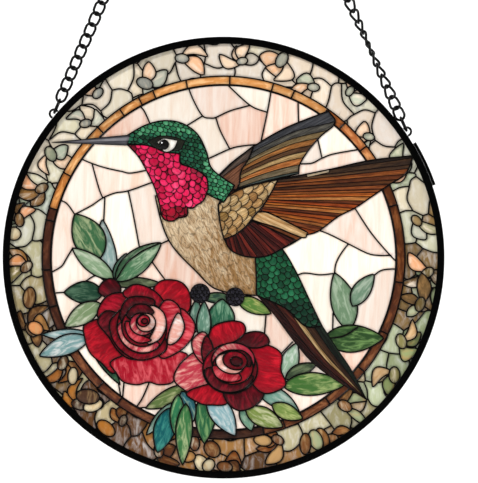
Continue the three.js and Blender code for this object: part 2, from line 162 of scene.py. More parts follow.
class SuncatcherColours(bpy.types.PropertyGroup):
    rim: colour_property("Rim", "Black paint of the rim", "#020202")
    chain: colour_property("Chain", "Black plating of the chain, eyes and ring", "#030303")
    lead: colour_property("Lead", "Dark patina of the lead", "#060302")
    backdrop: colour_property("Backdrop", "Floor and backdrop", "#f7f7f7")


# Lines in the plane of the panel

def polar(radius, degrees, centre=(0, 0)):
    angle = math.radians(degrees)
    return (centre[0] + radius * math.cos(angle), centre[1] + radius * math.sin(angle))


def resample(points, step=STEP):
    """The same line with points about one step apart."""
    points = np.asarray(points, float)
    spans = np.linalg.norm(np.diff(points, axis=0), axis=1)
    along = np.concatenate([[0], np.cumsum(spans)])
    count = max(1, round(along[-1] / step))
    places = np.linspace(0, along[-1], count + 1)
    return np.column_stack([np.interp(places, along, points[:, axis]) for axis in (0, 1)])


def smooth(knots, closed=False):
    """A smooth line through the knots."""
    knots = np.asarray(knots, float)
    if len(knots) < 3 and not closed:
        return resample(knots)
    if closed:
        padded = np.vstack([knots[-1], knots, knots[:2]])
    else:
        padded = np.vstack([2 * knots[0] - knots[1], knots, 2 * knots[-1] - knots[-2]])
    share = np.linspace(0, 1, 12, endpoint=False)[:, None]
    spans = []
    for a, b, c, d in zip(padded, padded[1:], padded[2:], padded[3:]):
        spans.append(0.5 * (2 * b + (c - a) * share + (2 * a - 5 * b + 4 * c - d) * share ** 2
                            + (3 * b - a - 3 * c + d) * share ** 3))
    line = np.vstack([*spans, padded[-2]])
    return resample(line)


def outline(*runs):
    """A closed line of smooth runs. Each run starts in the corner where the one before it ended."""
    points = []
    for i, run in enumerate(runs):
        start = [runs[i - 1][-1]] if i else []
        end = [runs[0][0]] if i == len(runs) - 1 else []
        points.append(smooth([*start, *run, *end])[:-1])
    return np.vstack(points)


def circle(radius, centre=(0, 0)):
    count = round(2 * math.pi * radius / STEP)
    return np.array([polar(radius, 360 * i / count, centre) for i in range(count)])


def oval(x, z, long, wide, tilt=0):
    """An oval from its middle, its two half sizes and the tilt of the first."""
    count = max(10, round(math.pi * (long + wide) / STEP))
    cos, sin = math.cos(math.radians(tilt)), math.sin(math.radians(tilt))
    points = []
    for i in range(count):
        u, v = polar(1, 360 * i / count)
        u, v = u * long, v * wide
        points.append((x + u * cos - v * sin, z + u * sin + v * cos))
    return np.array(points)


def leaf(base, tip, left, right, bend=0.0, fullness=0.85):
    """A leaf from its stalk to its tip, with its half widths to the left and right and its sideways bend."""
    base, tip = np.array(base, float), np.array(tip, float)
    along = tip - base
    across = np.array([-along[1], along[0]]) / np.linalg.norm(along)
    share = np.linspace(0, 1, 17)[:, None]
    spine = base + along * share + across * bend * np.sin(math.pi * share)
    swell = np.sin(math.pi * share ** fullness) ** 0.8
    there = spine + across * left * swell
    back = spine - across * right * swell
    return resample(np.vstack([there, back[::-1][1:]]))[:-1]


def blend(line_a, line_b, share):
    """A line between two lines."""
    count = 24
    places = np.linspace(0, 1, count)
    both = []
    for line in (np.asarray(line_a, float), np.asarray(line_b, float)):
        own = np.linspace(0, 1, len(line))
        both.append(np.column_stack([np.interp(places, own, line[:, axis]) for axis in (0, 1)]))
    return resample(both[0] * (1 - share) + both[1] * share)


FEATHER_SWELL = 0.12


def strips(group, upper, lower, shares, tints, within=None):
    """Feathers side by side between two lines that run from their roots to their tips."""
    patches = []
    edges = [blend(upper, lower, share) for share in shares]
    for (first, second), (tint, streak) in zip(zip(edges, edges[1:]), tints):
        root, tip = (first[0] + second[0]) / 2, (first[-1] + second[-1]) / 2
        patches.append(patch(group, np.vstack([first, second[::-1]]), tint, streak, base=root, tip=tip,
                             swell=FEATHER_SWELL, lead="fine", within=within))
    return patches


def patch(group, points, tint, streak, base=None, tip=None, grain=None, swell=0.18, lead="plain",
          within=None, palette=None):
    """A piece of the picture. Its streaks run from base to tip, or in the direction of the grain.

    It shows only within the outline of another piece, where one is given. A palette picks the tints of each
    piece of glass that it is cut into.
    """
    points = np.asarray(points, float)
    middle = points.mean(axis=0)
    if base is None:
        angle = 90 if grain is None else grain
        reach = np.ptp(points, axis=0).max() / 2
        base, tip = polar(-reach, angle, middle), polar(reach, angle, middle)
    base, tip = np.array(base, float), np.array(tip, float)
    direction = tip - base
    grain = math.degrees(math.atan2(direction[1], direction[0])) if grain is None else grain
    return Patch(group, points, hex_colour(tint), hex_colour(streak), grain, base, tip, swell, lead, within,
                 palette)


# The picture: the border of pale stones

# From each angle on, going round: the tints of the panes, of the petals and pebbles, and of a spray's stone.
BORDER_TINTS = [
    (0, ("#b5b895", "#c9c6a8", "#98794a"), ("#e9bd98", "#cfd0ba", "#8f7a4e", "#b3ad86"), "#a98c5c"),
    (16, ("#cfcdb4", "#b9bf9f", "#dccfb2"), ("#efb892", "#e6c9a4", "#b3b89a"), "#9fa68c"),
    (34, ("#f1ddc6", "#f4e4d4", "#dcd6bf"), ("#c9cdb6", "#f2c9a6", "#e3e0cd"), "#aeb09c"),
    (54, ("#e2d2b6", "#d8cdb2", "#eddac2"), ("#f3c095", "#ead0b4", "#b9bea6"), "#a9a99a"),
    (80, ("#e4d6c4", "#e2d0b8", "#efe0cd"), ("#f2ba90", "#f5d3b2", "#c9bfae"), "#9c9c94"),
    (104, ("#e2d6be", "#ebdcc6", "#e0cfb4"), ("#c0c2b0", "#f0c7a4", "#e4d3b8"), "#8f9088"),
    (138, ("#e4d6be", "#efdcc6", "#d6ceb0"), ("#a9b29a", "#ecc9a8", "#bcc4ae"), "#93997f"),
    (158, ("#bcc3ac", "#d2ceb4", "#a9b396"), ("#eeaa7c", "#8a6232", "#a9b094"), "#7b5a34"),
    (176, ("#a3946a", "#b9b28c", "#6b5330"), ("#5f3d1e", "#d68f58", "#7f7343", "#a8763e"), "#6b4a26"),
    (204, ("#b8ad86", "#c4bc9a", "#7a5c34"), ("#6e4422", "#985c26", "#b09c6c"), "#5d3e20"),
    (224, ("#bcab82", "#a08856", "#64401f"), ("#8a4e1a", "#663814", "#ac6c28", "#3e2618"), "#4f3424"),
    (246, ("#bba57c", "#a67238", "#64401e"), ("#8c4c1a", "#573016", "#c68e50"), "#6e4224"),
    (264, ("#c8b48c", "#a2743e", "#62401f"), ("#8c4e20", "#5a3418", "#cca068", "#704220"), "#7c4d28"),
    (290, ("#b8ae88", "#9c936a", "#b09264"), ("#68401f", "#9ea67e", "#804e26"), "#8a5c30"),
    (314, ("#b8c09a", "#9ca67c", "#c4b28a"), ("#ecaa78", "#93a26e", "#7d8a58", "#d6b488"), "#8c8450"),
    (338, ("#a9ab84", "#8f9a72", "#80653c"), ("#6f7444", "#e8a878", "#6c5230", "#b0b492"), "#6a5832"),
]

# The seeds of the panes: the radius of each ring, their number, and how far they stray from it. The last two
# rings lie outside the border and close its panes.
SEED_RINGS = ((85.6, 40, 1.8), (94.2, 36, 2.0), (104, 30, 0.6), (76, 30, 0.6))
SEED_STRAY = 0.36
PANE_LINE_LENGTHS = (0.6, 30)
PANE_LINE_MARGIN = 5
PANE_LINE_BOW = 0.22

# A spray has a few petals on one side of its stone, all curled the same way.
SPRAYS = 29
SPRAY_RADII = (93.4, 87)
SPRAY_STRAY = 1.4
PETAL_COUNTS = (2, 3, 3, 4)
PETAL_FAN = (34, 60)
PETAL_LENGTH = (8, 15)
PETAL_WIDTH = (2.2, 3.9)
PETAL_CURL = (0.5, 4.5)
PETAL_FULLNESS = 1.2
STONE_SIZE = (1.7, 2.6)
STONE_OFFSET = 1.2
STONE_STRETCH = 1.5
AMBER_BELOW = -20
UPPER_PETAL_STREAK = "#f3e2cc"
LOWER_PETAL_STREAK = "#bf9058"

PEBBLES = 16
PEBBLE_ARC = (168, 312)
PEBBLE_RADII = (84.5, 96)
PEBBLE_LENGTH = (2.8, 5.4)
PEBBLE_WIDTH = (2.0, 3.4)


def border_tints(point):
    """The tints near a point: of the panes, of the petals, and of the stone in the middle of a spray."""
    angle = math.degrees(math.atan2(point[1], point[0])) % 360
    return [tints for start, *tints in BORDER_TINTS if angle >= start][-1]


def stone_palette(middle, chance):
    """A pane's own tint and a lighter one beside it."""
    tint = hex_colour(chance.choice(border_tints(middle)[0]))
    return tint, [channel + (1 - channel) * 0.4 for channel in tint]


def stone_seeds(chance):
    """The middles of the larger panes, in loose rings."""
    seeds = []
    for radius, count, spread in SEED_RINGS:
        for i in range(count):
            angle = 360 * (i + chance.uniform(-SEED_STRAY, SEED_STRAY)) / count
            seeds.append(polar(radius + chance.uniform(-spread, spread), angle))
    return seeds


def circumcentre(a, b, c):
    """The point at one distance from three points."""
    twice = 2 * (a.x * (b.y - c.y) + b.x * (c.y - a.y) + c.x * (a.y - b.y))
    aa, bb, cc = (point.length_squared for point in (a, b, c))
    x = (aa * (b.y - c.y) + bb * (c.y - a.y) + cc * (a.y - b.y)) / twice
    y = (aa * (c.x - b.x) + bb * (a.x - c.x) + cc * (b.x - a.x)) / twice
    return np.array([x, y])


def pane_lines(seeds, inner, outer, chance):
    """The lines halfway between neighbouring seeds, a little bowed, within a ring."""
    found = delaunay_2d_cdt([Vector(seed) for seed in seeds], [], [], 0, 1e-6)
    points, triangles = found[0], found[2]
    centres = [circumcentre(*(points[k] for k in corners)) for corners in triangles]
    sides = defaultdict(list)
    for i, corners in enumerate(triangles):
        for pair in zip(corners, [*corners[1:], corners[0]]):
            sides[tuple(sorted(pair))].append(i)
    shortest, longest = PANE_LINE_LENGTHS
    lines = []
    for pair in sorted(sides):
        if len(sides[pair]) < 2:
            continue
        a, b = (centres[i] for i in sides[pair])
        length = np.linalg.norm(b - a)
        radius = np.linalg.norm((a + b) / 2)
        if length < shortest or length > longest:
            continue
        if not inner - PANE_LINE_MARGIN < radius < outer + PANE_LINE_MARGIN:
            continue
        across = np.array([a[1] - b[1], b[0] - a[0]]) / length
        middle = (a + b) / 2 + across * length * chance.uniform(-PANE_LINE_BOW, PANE_LINE_BOW)
        lines.append(smooth([a, middle, b]))
    return lines


def spray(middle, edge, chance):
    """Petals that fan out from a round stone, within the edge of the glass."""
    patches = []
    _, petal_tints, stone_tint = border_tints(middle)
    count = chance.choice(PETAL_COUNTS)
    first = chance.uniform(0, 360)
    fan = chance.uniform(*PETAL_FAN)
    curl = chance.choice((-1, 1))
    streak = UPPER_PETAL_STREAK if middle[1] > AMBER_BELOW else LOWER_PETAL_STREAK
    for i in chance.sample(range(count), count):
        angle = first + fan * i + chance.uniform(-8, 8)
        tip = polar(chance.uniform(*PETAL_LENGTH), angle, middle)
        left = chance.uniform(*PETAL_WIDTH)
        tint = chance.choice(petal_tints)
        right = chance.uniform(0.7, 1) * left
        points = leaf(middle, tip, left, right, curl * chance.uniform(*PETAL_CURL), PETAL_FULLNESS)
        patches.append(patch("border_glass", points, tint, streak, base=middle, tip=tip, swell=0.35,
                             within=edge))
    size = chance.uniform(*STONE_SIZE)
    place = polar(STONE_OFFSET, first + fan * (count - 1) / 2, middle)
    stone = oval(*place, size * STONE_STRETCH, size, chance.uniform(0, 180))
    patches.append(patch("border_glass", stone, stone_tint, "#d8cbb0", swell=0.5, within=edge))
    return patches


def border():
    chance = random.Random(7)
    lines = pane_lines(stone_seeds(chance), BAND_OUTER, GLASS_RADIUS, chance)
    edge = circle(GLASS_RADIUS)
    patches = [patch("border_glass", edge, "#d9cfb6", "#f2e6d2", lead="none", palette=stone_palette)]
    for i in range(SPRAYS):
        angle = 360 * (i + chance.uniform(-0.3, 0.3)) / SPRAYS
        radius = SPRAY_RADII[i % 2] + chance.uniform(-SPRAY_STRAY, SPRAY_STRAY)
        patches += spray(polar(radius, angle), edge, chance)
    for _ in range(PEBBLES):
        middle = polar(chance.uniform(*PEBBLE_RADII), chance.uniform(*PEBBLE_ARC))
        _, petal_tints, stone_tint = border_tints(middle)
        tint = chance.choice((*petal_tints, stone_tint, "#d8c8a4"))
        length, width = chance.uniform(*PEBBLE_LENGTH), chance.uniform(*PEBBLE_WIDTH)
        pebble = oval(*middle, length, width, chance.uniform(0, 180))
        patches.append(patch("border_glass", pebble, tint, "#c29e6c", swell=0.5, within=edge))
    return patches, [Cut("border_glass", line, "plain") for line in lines]


# The picture: the amber band and the cream field

# The angles of the joints in the band, and from each angle on its two tints.
BAND_JOINTS = (17, 24, 38, 48, 55, 67, 74, 88, 102, 113, 118, 125, 134, 152, 164, 168, 184, 196, 206, 226,
               234, 258, 283, 290, 306, 321, 335, 352)
BAND_TINTS = (
    (0, "#54290f", "#8a5028"), (26, "#a85f30", "#dc9860"), (50, "#a05a28", "#5b3018"),
    (60, "#cd8a4a", "#ecb880"), (112, "#bf7c40", "#e8b67c"), (150, "#a8642c", "#dc9a58"),
    (166, "#3c1c10", "#5e3420"), (214, "#4f2818", "#7e4c2e"), (262, "#2c150d", "#4a2a1a"),
    (284, "#5c3018", "#965f3a"), (330, "#4a2412", "#7c4626"), (350, "#54290f", "#8a5028"),
)
BAND_LAP = 0.01
FIELD_LAP = 1

FIELD_TINTS = (("#f6e6da", "#ecc7b0"), ("#f8ece0", "#efd2be"), ("#f3dccd", "#e4ae94"),
               ("#faf1e4", "#f1dac4"))


def band():
    patches = [patch("band_glass", circle(BAND_OUTER), "#6b3b20", "#8f5a33", lead="wide")]
    outer, inner = BAND_OUTER + BAND_LAP, BAND_INNER - FIELD_LAP
    for start, end in zip(BAND_JOINTS, [*BAND_JOINTS[1:], BAND_JOINTS[0] + 360]):
        middle = (start + end) / 2
        _, tint, streak = [entry for entry in BAND_TINTS if entry[0] <= middle % 360][-1]
        arc = [polar(1, start + (end - start) * i / 12) for i in range(13)]
        points = [(x * outer, z * outer) for x, z in arc]
        points += [(x * inner, z * inner) for x, z in reversed(arc)]
        patches.append(patch("band_glass", resample(points), tint, streak, grain=middle + 90))
    return patches, []


def field_palette(middle, chance):
    """Cream glass: some of its pieces nearly white, the others with rosy streaks."""
    tint, streak = chance.choice(FIELD_TINTS)
    return hex_colour(tint), hex_colour(streak)


# The field's leads.
FIELD_LINES = (
    [(-39, 69.5), (-36, 66.5), (-33, 60)],
    [(-16.3, 78), (-13.5, 71), (-9.5, 64.2), (-6, 63.2), (-3.5, 63.5), (3, 66.5), (12, 69)],
    [(1, 79), (12, 69), (19.8, 65.8)],
    [(-9.5, 64.2), (-18, 59)],
    [(21.8, 77), (19.8, 65.8), (16.6, 51)],
    [(-3.5, 63.5), (-1.5, 57.5), (2.8, 49.2)],
    [(-7, 44.8), (2.8, 49.2), (8, 50.5), (15.5, 51.3)],
    [(33.7, 72), (34, 60)],
    [(34, 42.4), (40, 42.8), (44.5, 45), (50, 47), (63.5, 49.4)],
    [(42.4, 55), (44.6, 45)],
    [(-66, 45.4), (-60, 42.8), (-54, 40.8), (-46, 39), (-42, 38.3), (-33, 40)],
    [(-59.6, 42.6), (-56.5, 31.5), (-54.8, 27.2)],
    [(-67.4, 19.6), (-60, 23.5), (-54.8, 27), (-49, 29.3), (-43, 30.3), (-31, 34.6)],
    [(-75, 26.3), (-71, 24.5), (-67.4, 19.6)],
    [(-53.8, 27.3), (-54.4, 14)],
    [(-43.2, 30.3), (-41, 20), (-38, 4)],
    [(-78.6, -7), (-73.5, -4), (-71.5, -1), (-68.2, 4.6)],
    [(-76, -16), (-71, -15.6)],
    [(-63, -11), (-58, -8.2), (-54, -10.4)],
    [(-33, -1), (-29.5, -6), (-25, -12)],
    [(-30, 5.6), (-24.5, 8)],
    [(59, 23.2), (67, 11), (75.5, 1), (79.5, -3)],
    [(42, 12.8), (48, 10.5), (56, 6.5), (65, 2), (70, 1), (76, 1)],
    [(56.4, 6.2), (53, 1.5), (50.8, -3), (50.2, -8)],
    [(33, -8), (37, -7), (44, -7.8), (51, -7)],
    [(67, -9), (71, -6), (75, -5.2), (79.5, -5.2)],
    [(49.6, -25), (49.4, -33)],
    [(19.3, -25), (18.4, -36)],
    [(-48.5, -52), (-46.2, -65)],
    [(-45, -55), (-45.8, -64)],
    [(-33, -55), (-37, -64), (-41, -69.5)],
    [(-40, -68.2), (-32.5, -67.6)],
    [(31.4, -38), (26, -43.6)],
)


def field():
    patches = [patch("field_glass", circle(BAND_INNER), "#fdf1ea", "#f3c9ae", grain=88, lead="wide",
                     palette=field_palette)]
    return patches, [Cut("field_glass", smooth(line), "plain") for line in FIELD_LINES]


# The picture: leaves

# Each leaf has its stalk, its tip, its left and right half widths, its two tints and its bend.
LEAVES = {
    "leaves_upper_left": (
        ((-49.8, -9), (-55, 17.4), 4.2, 4.2, "#9fbdb8", "#dfe9e2", 1),
        ((-55.6, 0), (-67.4, 19.8), 7.2, 7.2, "#3f7048", "#a9b98a", 0),
        ((-49.6, -9.4), (-68.6, 4.4), 4.2, 3.6, "#8fae86", "#cfdcc0", 0),
        ((-49.6, -9.6), (-44, 2), 2.4, 2.6, "#5f8a70", "#a8c4b0", 0),
    ),
    "leaf_upper_right": (
        ((-49, -10.6), (-28.2, 6.8), 5.8, 4.9, "#4f7f58", "#b4caa8", 0),
    ),
    "leaf_left_dark": (((-54.6, -16), (-72.4, -15.8), 4.9, 5.2, "#1f4a35", "#5f8468", 0),),
    "leaf_left_pale": (((-56, -20.6), (-72, -31.4), 4.4, 4.6, "#8ba476", "#dce3c4", 0),),
    "leaf_lower_left": (((-61, -36.6), (-83.6, -44.6), 3.8, 5.2, "#8ab4b4", "#f2f8f4", 0),),
    "leaves_between_roses": (
        ((-13, -34), (-12, -18.4), 3, 2.6, "#5f8c78", "#a9c8b4", 0),
        ((4, -18.4), (-11, -18), 2.4, 2.4, "#2d4a3c", "#6b8a60", 0),
        ((-2, -34), (-0.6, -18.6), 6, 6.4, "#2f7052", "#8fbf9c", 0),
        ((-9, -38), (-8.8, -19.6), 3.4, 3.2, "#639079", "#b3d0bc", 0),
    ),
    "leaf_under_foot": (((6, -18.6), (21.6, -25.4), 3.6, 3.4, "#5f8a3e", "#c9c87a", 0),),
    "leaves_right": (
        ((56.8, -32.6), (50.2, -6.8), 5, 6.6, "#7c9c78", "#b9cdb0", 0),
        ((58.4, -22), (68.2, -7.4), 4.6, 3.4, "#83a688", "#c6d8c0", 0),
    ),
    "leaf_right_broad": (((45.4, -36.6), (72.6, -36.4), 6, 6.4, "#35582c", "#86b066", 0),),
    "leaves_by_tail": (
        ((26, -57), (33.2, -38.6), 4.4, 4.4, "#9dbd9f", "#e3ece0", 0),
        ((28, -55), (42.2, -48.2), 3.6, 2.4, "#40533a", "#7f9068", 0),
        ((27, -58.2), (55.4, -57.4), 5.8, 4.6, "#4a7a38", "#b0c47c", 0),
    ),
    "leaves_lower_right": (
        ((15, -60), (34.6, -70.6), 5.4, 3, "#7fae9c", "#c9dccc", 0),
        ((9, -66), (12.6, -78.6), 3.6, 3.4, "#6f9e84", "#b3ccb0", 0),
        ((22, -66.4), (36, -73), 3.2, 4, "#7a9448", "#c6cf84", 0),
        ((10, -69), (27, -76.6), 4.8, 4.2, "#8aa04e", "#dfe3b0", 0),
    ),
    "leaves_lower_middle": (
        ((-3, -64), (-2.6, -75), 3, 3, "#2f6a48", "#7fae7c", 0),
        ((-9, -62), (-8.8, -84.2), 5.2, 4, "#2f7046", "#8fbb78", 0),
        ((-7, -62), (5.4, -80.8), 5.4, 4.8, "#93bfc6", "#e6f0ee", 0),
    ),
    "leaves_lower_left": (
        ((-14, -58), (-35.4, -68.4), 4, 3.6, "#6c8448", "#c3c890", 0),
        ((-19, -60.5), (-13.6, -74.4), 3.8, 3.2, "#2f6f7a", "#a6c8b0", 0),
        ((-22, -65.5), (-35, -80.4), 2.6, 2.8, "#86b09c", "#d3e4d6", 0),
        ((-24, -68), (-30, -88.4), 5, 4.8, "#0f6064", "#3f9a8c", 0),
        ((-20.5, -62), (-22.2, -80.2), 3.2, 3, "#2f7c50", "#9cc488", 0),
        ((-17, -66), (-18.6, -94), 3.6, 4, "#3f8048", "#b4c890", 0),
    ),
}

# Leaves that lie on the field behind the others, each under the node of the leaf that it touches.
BACK_LEAVES = (
    ("leaf_upper_right", (-50, -12.4), (-27, -12.4), 3.4, 1.4, "#58684a", "#8f9c74"),
    ("leaf_lower_left", (-61, -36), (-46.8, -57.6), 2.4, 2.8, "#24503a", "#4f8058"),
    ("leaf_lower_left", (-60, -35), (-82.4, -34.8), 2.8, 2.6, "#7fb0b4", "#d9e8e4"),
)

# Leads along the middle of a leaf.
LEAF_RIBS = {
    "leaf_upper_right": [(-49, -10.6), (-44, -2.6), (-40, 0.8), (-36, 3.4), (-27.6, 7)],
    "leaf_right_broad": [(45.4, -36.6), (54, -35.6), (61, -31.4)],
}


def leaves():
    patches = []
    for group, base, tip, left, right, tint, streak in BACK_LEAVES:
        patches.append(patch(group, leaf(base, tip, left, right), tint, streak, base=base, tip=tip))
    for group, forms in LEAVES.items():
        for base, tip, left, right, tint, streak, bend in forms:
            points = leaf(base, tip, left, right, bend)
            patches.append(patch(group, points, tint, streak, base=base, tip=tip))
    return patches, [Cut(group, smooth(rib), "plain") for group, rib in LEAF_RIBS.items()]


# The picture: roses. The petals of each lie over each other from the outside in.

CRIMSON = ("#6a0212", "#ae0c26")
SCARLET = ("#8a0216", "#ce1428")
MAROON = ("#3e020a", "#780a1c")
CORAL = ("#bc3044", "#f4b4a6")
BLUSH = ("#eba898", "#fdeee6")
STREAKED = ("#a80c24", "#e8626a")


def petals(group, middle, forms):
    """Petals are smooth outlines or ovals. Their streaks run out from the rose's middle."""
    patches = []
    for points, (tint, streak) in forms:
        points = oval(*points) if isinstance(points[0], (int, float)) else smooth(points, closed=True)[:-1]
        centre = points.mean(axis=0)
        out = centre - np.array(middle)
        reach = max(np.linalg.norm(points - np.array(middle), axis=1))
        tip = middle + out / max(np.linalg.norm(out), 0.01) * reach
        patches.append(patch(group, points, tint, streak, base=middle, tip=tip, swell=0.3))
    return patches


def roses():
    left = petals("left_rose", (-36, -29), (
        ([(-62.4, -30), (-63, -36), (-60.6, -43), (-55, -48), (-49.6, -52.4), (-44, -44), (-50, -28)],
         SCARLET),
        ([(-50.6, -46.6), (-34, -42), (-16.6, -43.6), (-21.6, -51.6), (-23, -56.4), (-29, -57.6),
          (-34, -56.4), (-39, -57.6), (-45.2, -56.4), (-48.6, -52.2)], STREAKED),
        ([(-56.6, -15.8), (-55, -11.2), (-51, -9.4), (-47.6, -11.4), (-46.6, -15), (-50, -19)], MAROON),
        ([(-57, -27), (-54.4, -19), (-49, -16), (-43.6, -17), (-44, -24), (-48, -32)], CRIMSON),
        ([(-31.6, -15), (-29.2, -11), (-24.2, -10), (-18.5, -11.6), (-15.2, -16.6), (-15.2, -23),
          (-19, -26.4), (-26, -22)], SCARLET),
        ([(-19.6, -23), (-13.6, -28.6), (-13.2, -34), (-16.2, -39), (-21, -43), (-28, -45.6), (-30, -40),
          (-24, -30)], STREAKED),
        ([(-45.4, -17), (-42.6, -13), (-38, -12.2), (-31.5, -15), (-27, -20), (-27, -24), (-36, -22)],
         CRIMSON),
        ([(-28, -20.6), (-23.5, -19.4), (-19.6, -23.4), (-20, -30), (-23, -36), (-27, -40), (-31, -30)],
         STREAKED),
        ([(-20.6, -25), (-17.8, -30), (-18.6, -34.6), (-22, -38.6), (-25.4, -39), (-24.2, -32)], BLUSH),
        ([(-57, -29), (-52, -36), (-47.6, -42.6), (-42, -46), (-37, -44), (-42, -30), (-52, -24)],
         MAROON),
        ([(-51, -28), (-50.6, -36), (-46, -42.4), (-38.6, -46.4), (-30, -44.6), (-25.6, -40), (-30, -30),
          (-42, -22)], CRIMSON),
        ((-37, -31.4, 11.2, 12, 10), SCARLET),
        ([(-48, -31), (-46, -38), (-40, -42.6), (-33, -42.6), (-29, -39), (-36, -36), (-42, -28)],
         CORAL),
        ([(-47, -27), (-44, -19), (-37, -17.6), (-31, -20), (-36, -26), (-42, -32)], MAROON),
        ((-36.6, -31, 9.6, 9.2, 20), CRIMSON),
        ([(-33, -21.6), (-27.4, -24.6), (-26, -31), (-29, -37), (-34.6, -39), (-31, -31), (-33, -26)],
         BLUSH),
        ([(-44.6, -29), (-43.4, -35), (-38.6, -38.6), (-32.6, -37.4), (-38, -34.6), (-41, -30)],
         STREAKED),
        ([(-44, -26), (-40.6, -21.6), (-35, -21.4), (-31.4, -25), (-36, -26.4), (-40, -29)], MAROON),
        ((-37, -30.2, 5.6, 5, -20), CORAL),
        ((-35.2, -29.4, 4.4, 4.2, 0), BLUSH),
        ((-36.2, -28.6, 2.9, 2.6, 30), STREAKED),
        ((-35.8, -28.8, 1.4, 1.2, 0), CRIMSON),
    ))
    right = petals("right_rose", (5, -47.5), (
        ([(-13.6, -43), (-8, -42), (-4, -56), (2, -63), (0.6, -66), (-5, -66.4), (-10.5, -65.6),
          (-16.4, -61), (-22.4, -55.6), (-20, -48.6)], CORAL),
        ([(-17, -61.4), (-8, -57.6), (-2, -57), (4, -62), (1, -66.4), (-5, -66.8), (-10.8, -66)],
         SCARLET),
        ([(0, -60), (2, -66), (7.6, -69.4), (15, -66.6), (18.4, -61), (14, -55), (6, -56)], MAROON),
        ([(12, -40.6), (19.8, -39.6), (26.2, -43.6), (26, -50.8), (28, -58), (19.1, -61.6), (13, -57),
          (10, -48)],
         SCARLET),
        ([(5, -38), (11.6, -33.8), (18.2, -34.2), (20.6, -38.8), (13.6, -41)], MAROON),
        ([(-14.4, -38), (-10.8, -34), (-7.6, -34.6), (-6, -42), (-8.4, -48.4), (-13, -44)], CORAL),
        ([(-7, -38), (-5, -31.4), (2.4, -28.8), (8.6, -29.6), (9.8, -33.8), (5, -38), (-2, -40), (-6, -43)],
         SCARLET),
        ([(-8, -35.4), (-5, -39.6), (-5, -46), (-8.6, -48), (-10, -41.6)], MAROON),
        ((3, -50.4, 12.4, 11.2, 0), CRIMSON),
        ([(-8.6, -51), (-5.6, -58), (1, -61), (9, -59.6), (13.6, -54), (8, -52.6), (-2, -49.6)], MAROON),
        ((4.4, -46.8, 9.8, 8.2, 0), CORAL),
        ((4.2, -49.6, 9.2, 7.8, 0), SCARLET),
        ([(-5, -49), (-3.4, -54), (2, -56.4), (8, -55.2), (6, -51.6), (0, -49.6)], STREAKED),
        ([(-3.4, -46.6), (1, -42.8), (8, -42), (12.4, -45.4), (11.6, -49.6), (6, -46)], MAROON),
        ((2.8, -48, 6.6, 4.4, -18), BLUSH),
        ((5.2, -46.6, 5.6, 4.2, -12), CRIMSON),
        ((5.8, -47, 2.8, 2.1, -12), MAROON),
    ))
    return left + right, []


# The picture: the bird

# Shares of the spacing: from row to row, of a scale's radius, and how far outside its region a scale may be.
ROW_SHARE = 0.8
SCALE_RADIUS = 0.62
SCALE_MARGIN = 0.4
SCALE_TURN = 60


def scales(group, region, spacing, tints_at, chance, size=1.0, stretch=1.0, loose=0.12, drop=(0, -1),
           swell=0.15):
    """Overlapping round scales over a region. Each row covers the roots of the one before it."""
    low, high = region.min(axis=0) - spacing, region.max(axis=0) + spacing
    drop = np.array(drop, float) / np.linalg.norm(drop)
    side = np.array([-drop[1], drop[0]])
    centre = (low + high) / 2
    reach = np.linalg.norm(high - low) / 2
    row_step = spacing * ROW_SHARE * stretch
    rows = int(2 * reach / row_step)
    columns = int(2 * reach / spacing)
    tilt = math.degrees(math.atan2(drop[1], drop[0]))
    patches = []
    for row in range(rows, -1, -1):
        for column in range(columns + 1):
            middle = (centre + drop * (row - rows / 2) * row_step
                      + side * (column - columns / 2 + 0.5 * (row % 2)) * spacing)
            stray = np.array([chance.uniform(-loose, loose), chance.uniform(-loose, loose)])
            middle = middle + stray * spacing
            if not inside(grown(region, spacing * SCALE_MARGIN), middle[None])[0]:
                continue
            tint, streak = chance.choice(tints_at(middle))
            radius = spacing * SCALE_RADIUS * size * chance.uniform(1 - loose, 1 + loose)
            turn = tilt + chance.uniform(-SCALE_TURN, SCALE_TURN) * loose
            patches.append(patch(group, oval(*middle, radius * stretch, radius, turn), tint, streak,
                                 base=middle - drop * spacing, tip=middle + drop * spacing, swell=swell,
                                 lead="fine", within=region))
    return patches


def grown(points, distance):
    """A closed outline moved outwards from its middle."""
    middle = points.mean(axis=0)
    out = points - middle
    return middle + out * (1 + distance / np.maximum(np.linalg.norm(out, axis=1), 1))[:, None]


def inside(points, queries):
    """Which of the queries lie inside a closed outline."""
    x, z = queries[:, 0], queries[:, 1]
    found = np.zeros(len(queries), bool)
    for (ax, az), (bx, bz) in zip(points, np.roll(points, -1, axis=0)):
        crosses = (az > z) != (bz > z)
        if crosses.any():
            found ^= crosses & (x < (bx - ax) * (z - az) / ((bz - az) or 1e-12) + ax)
    return found


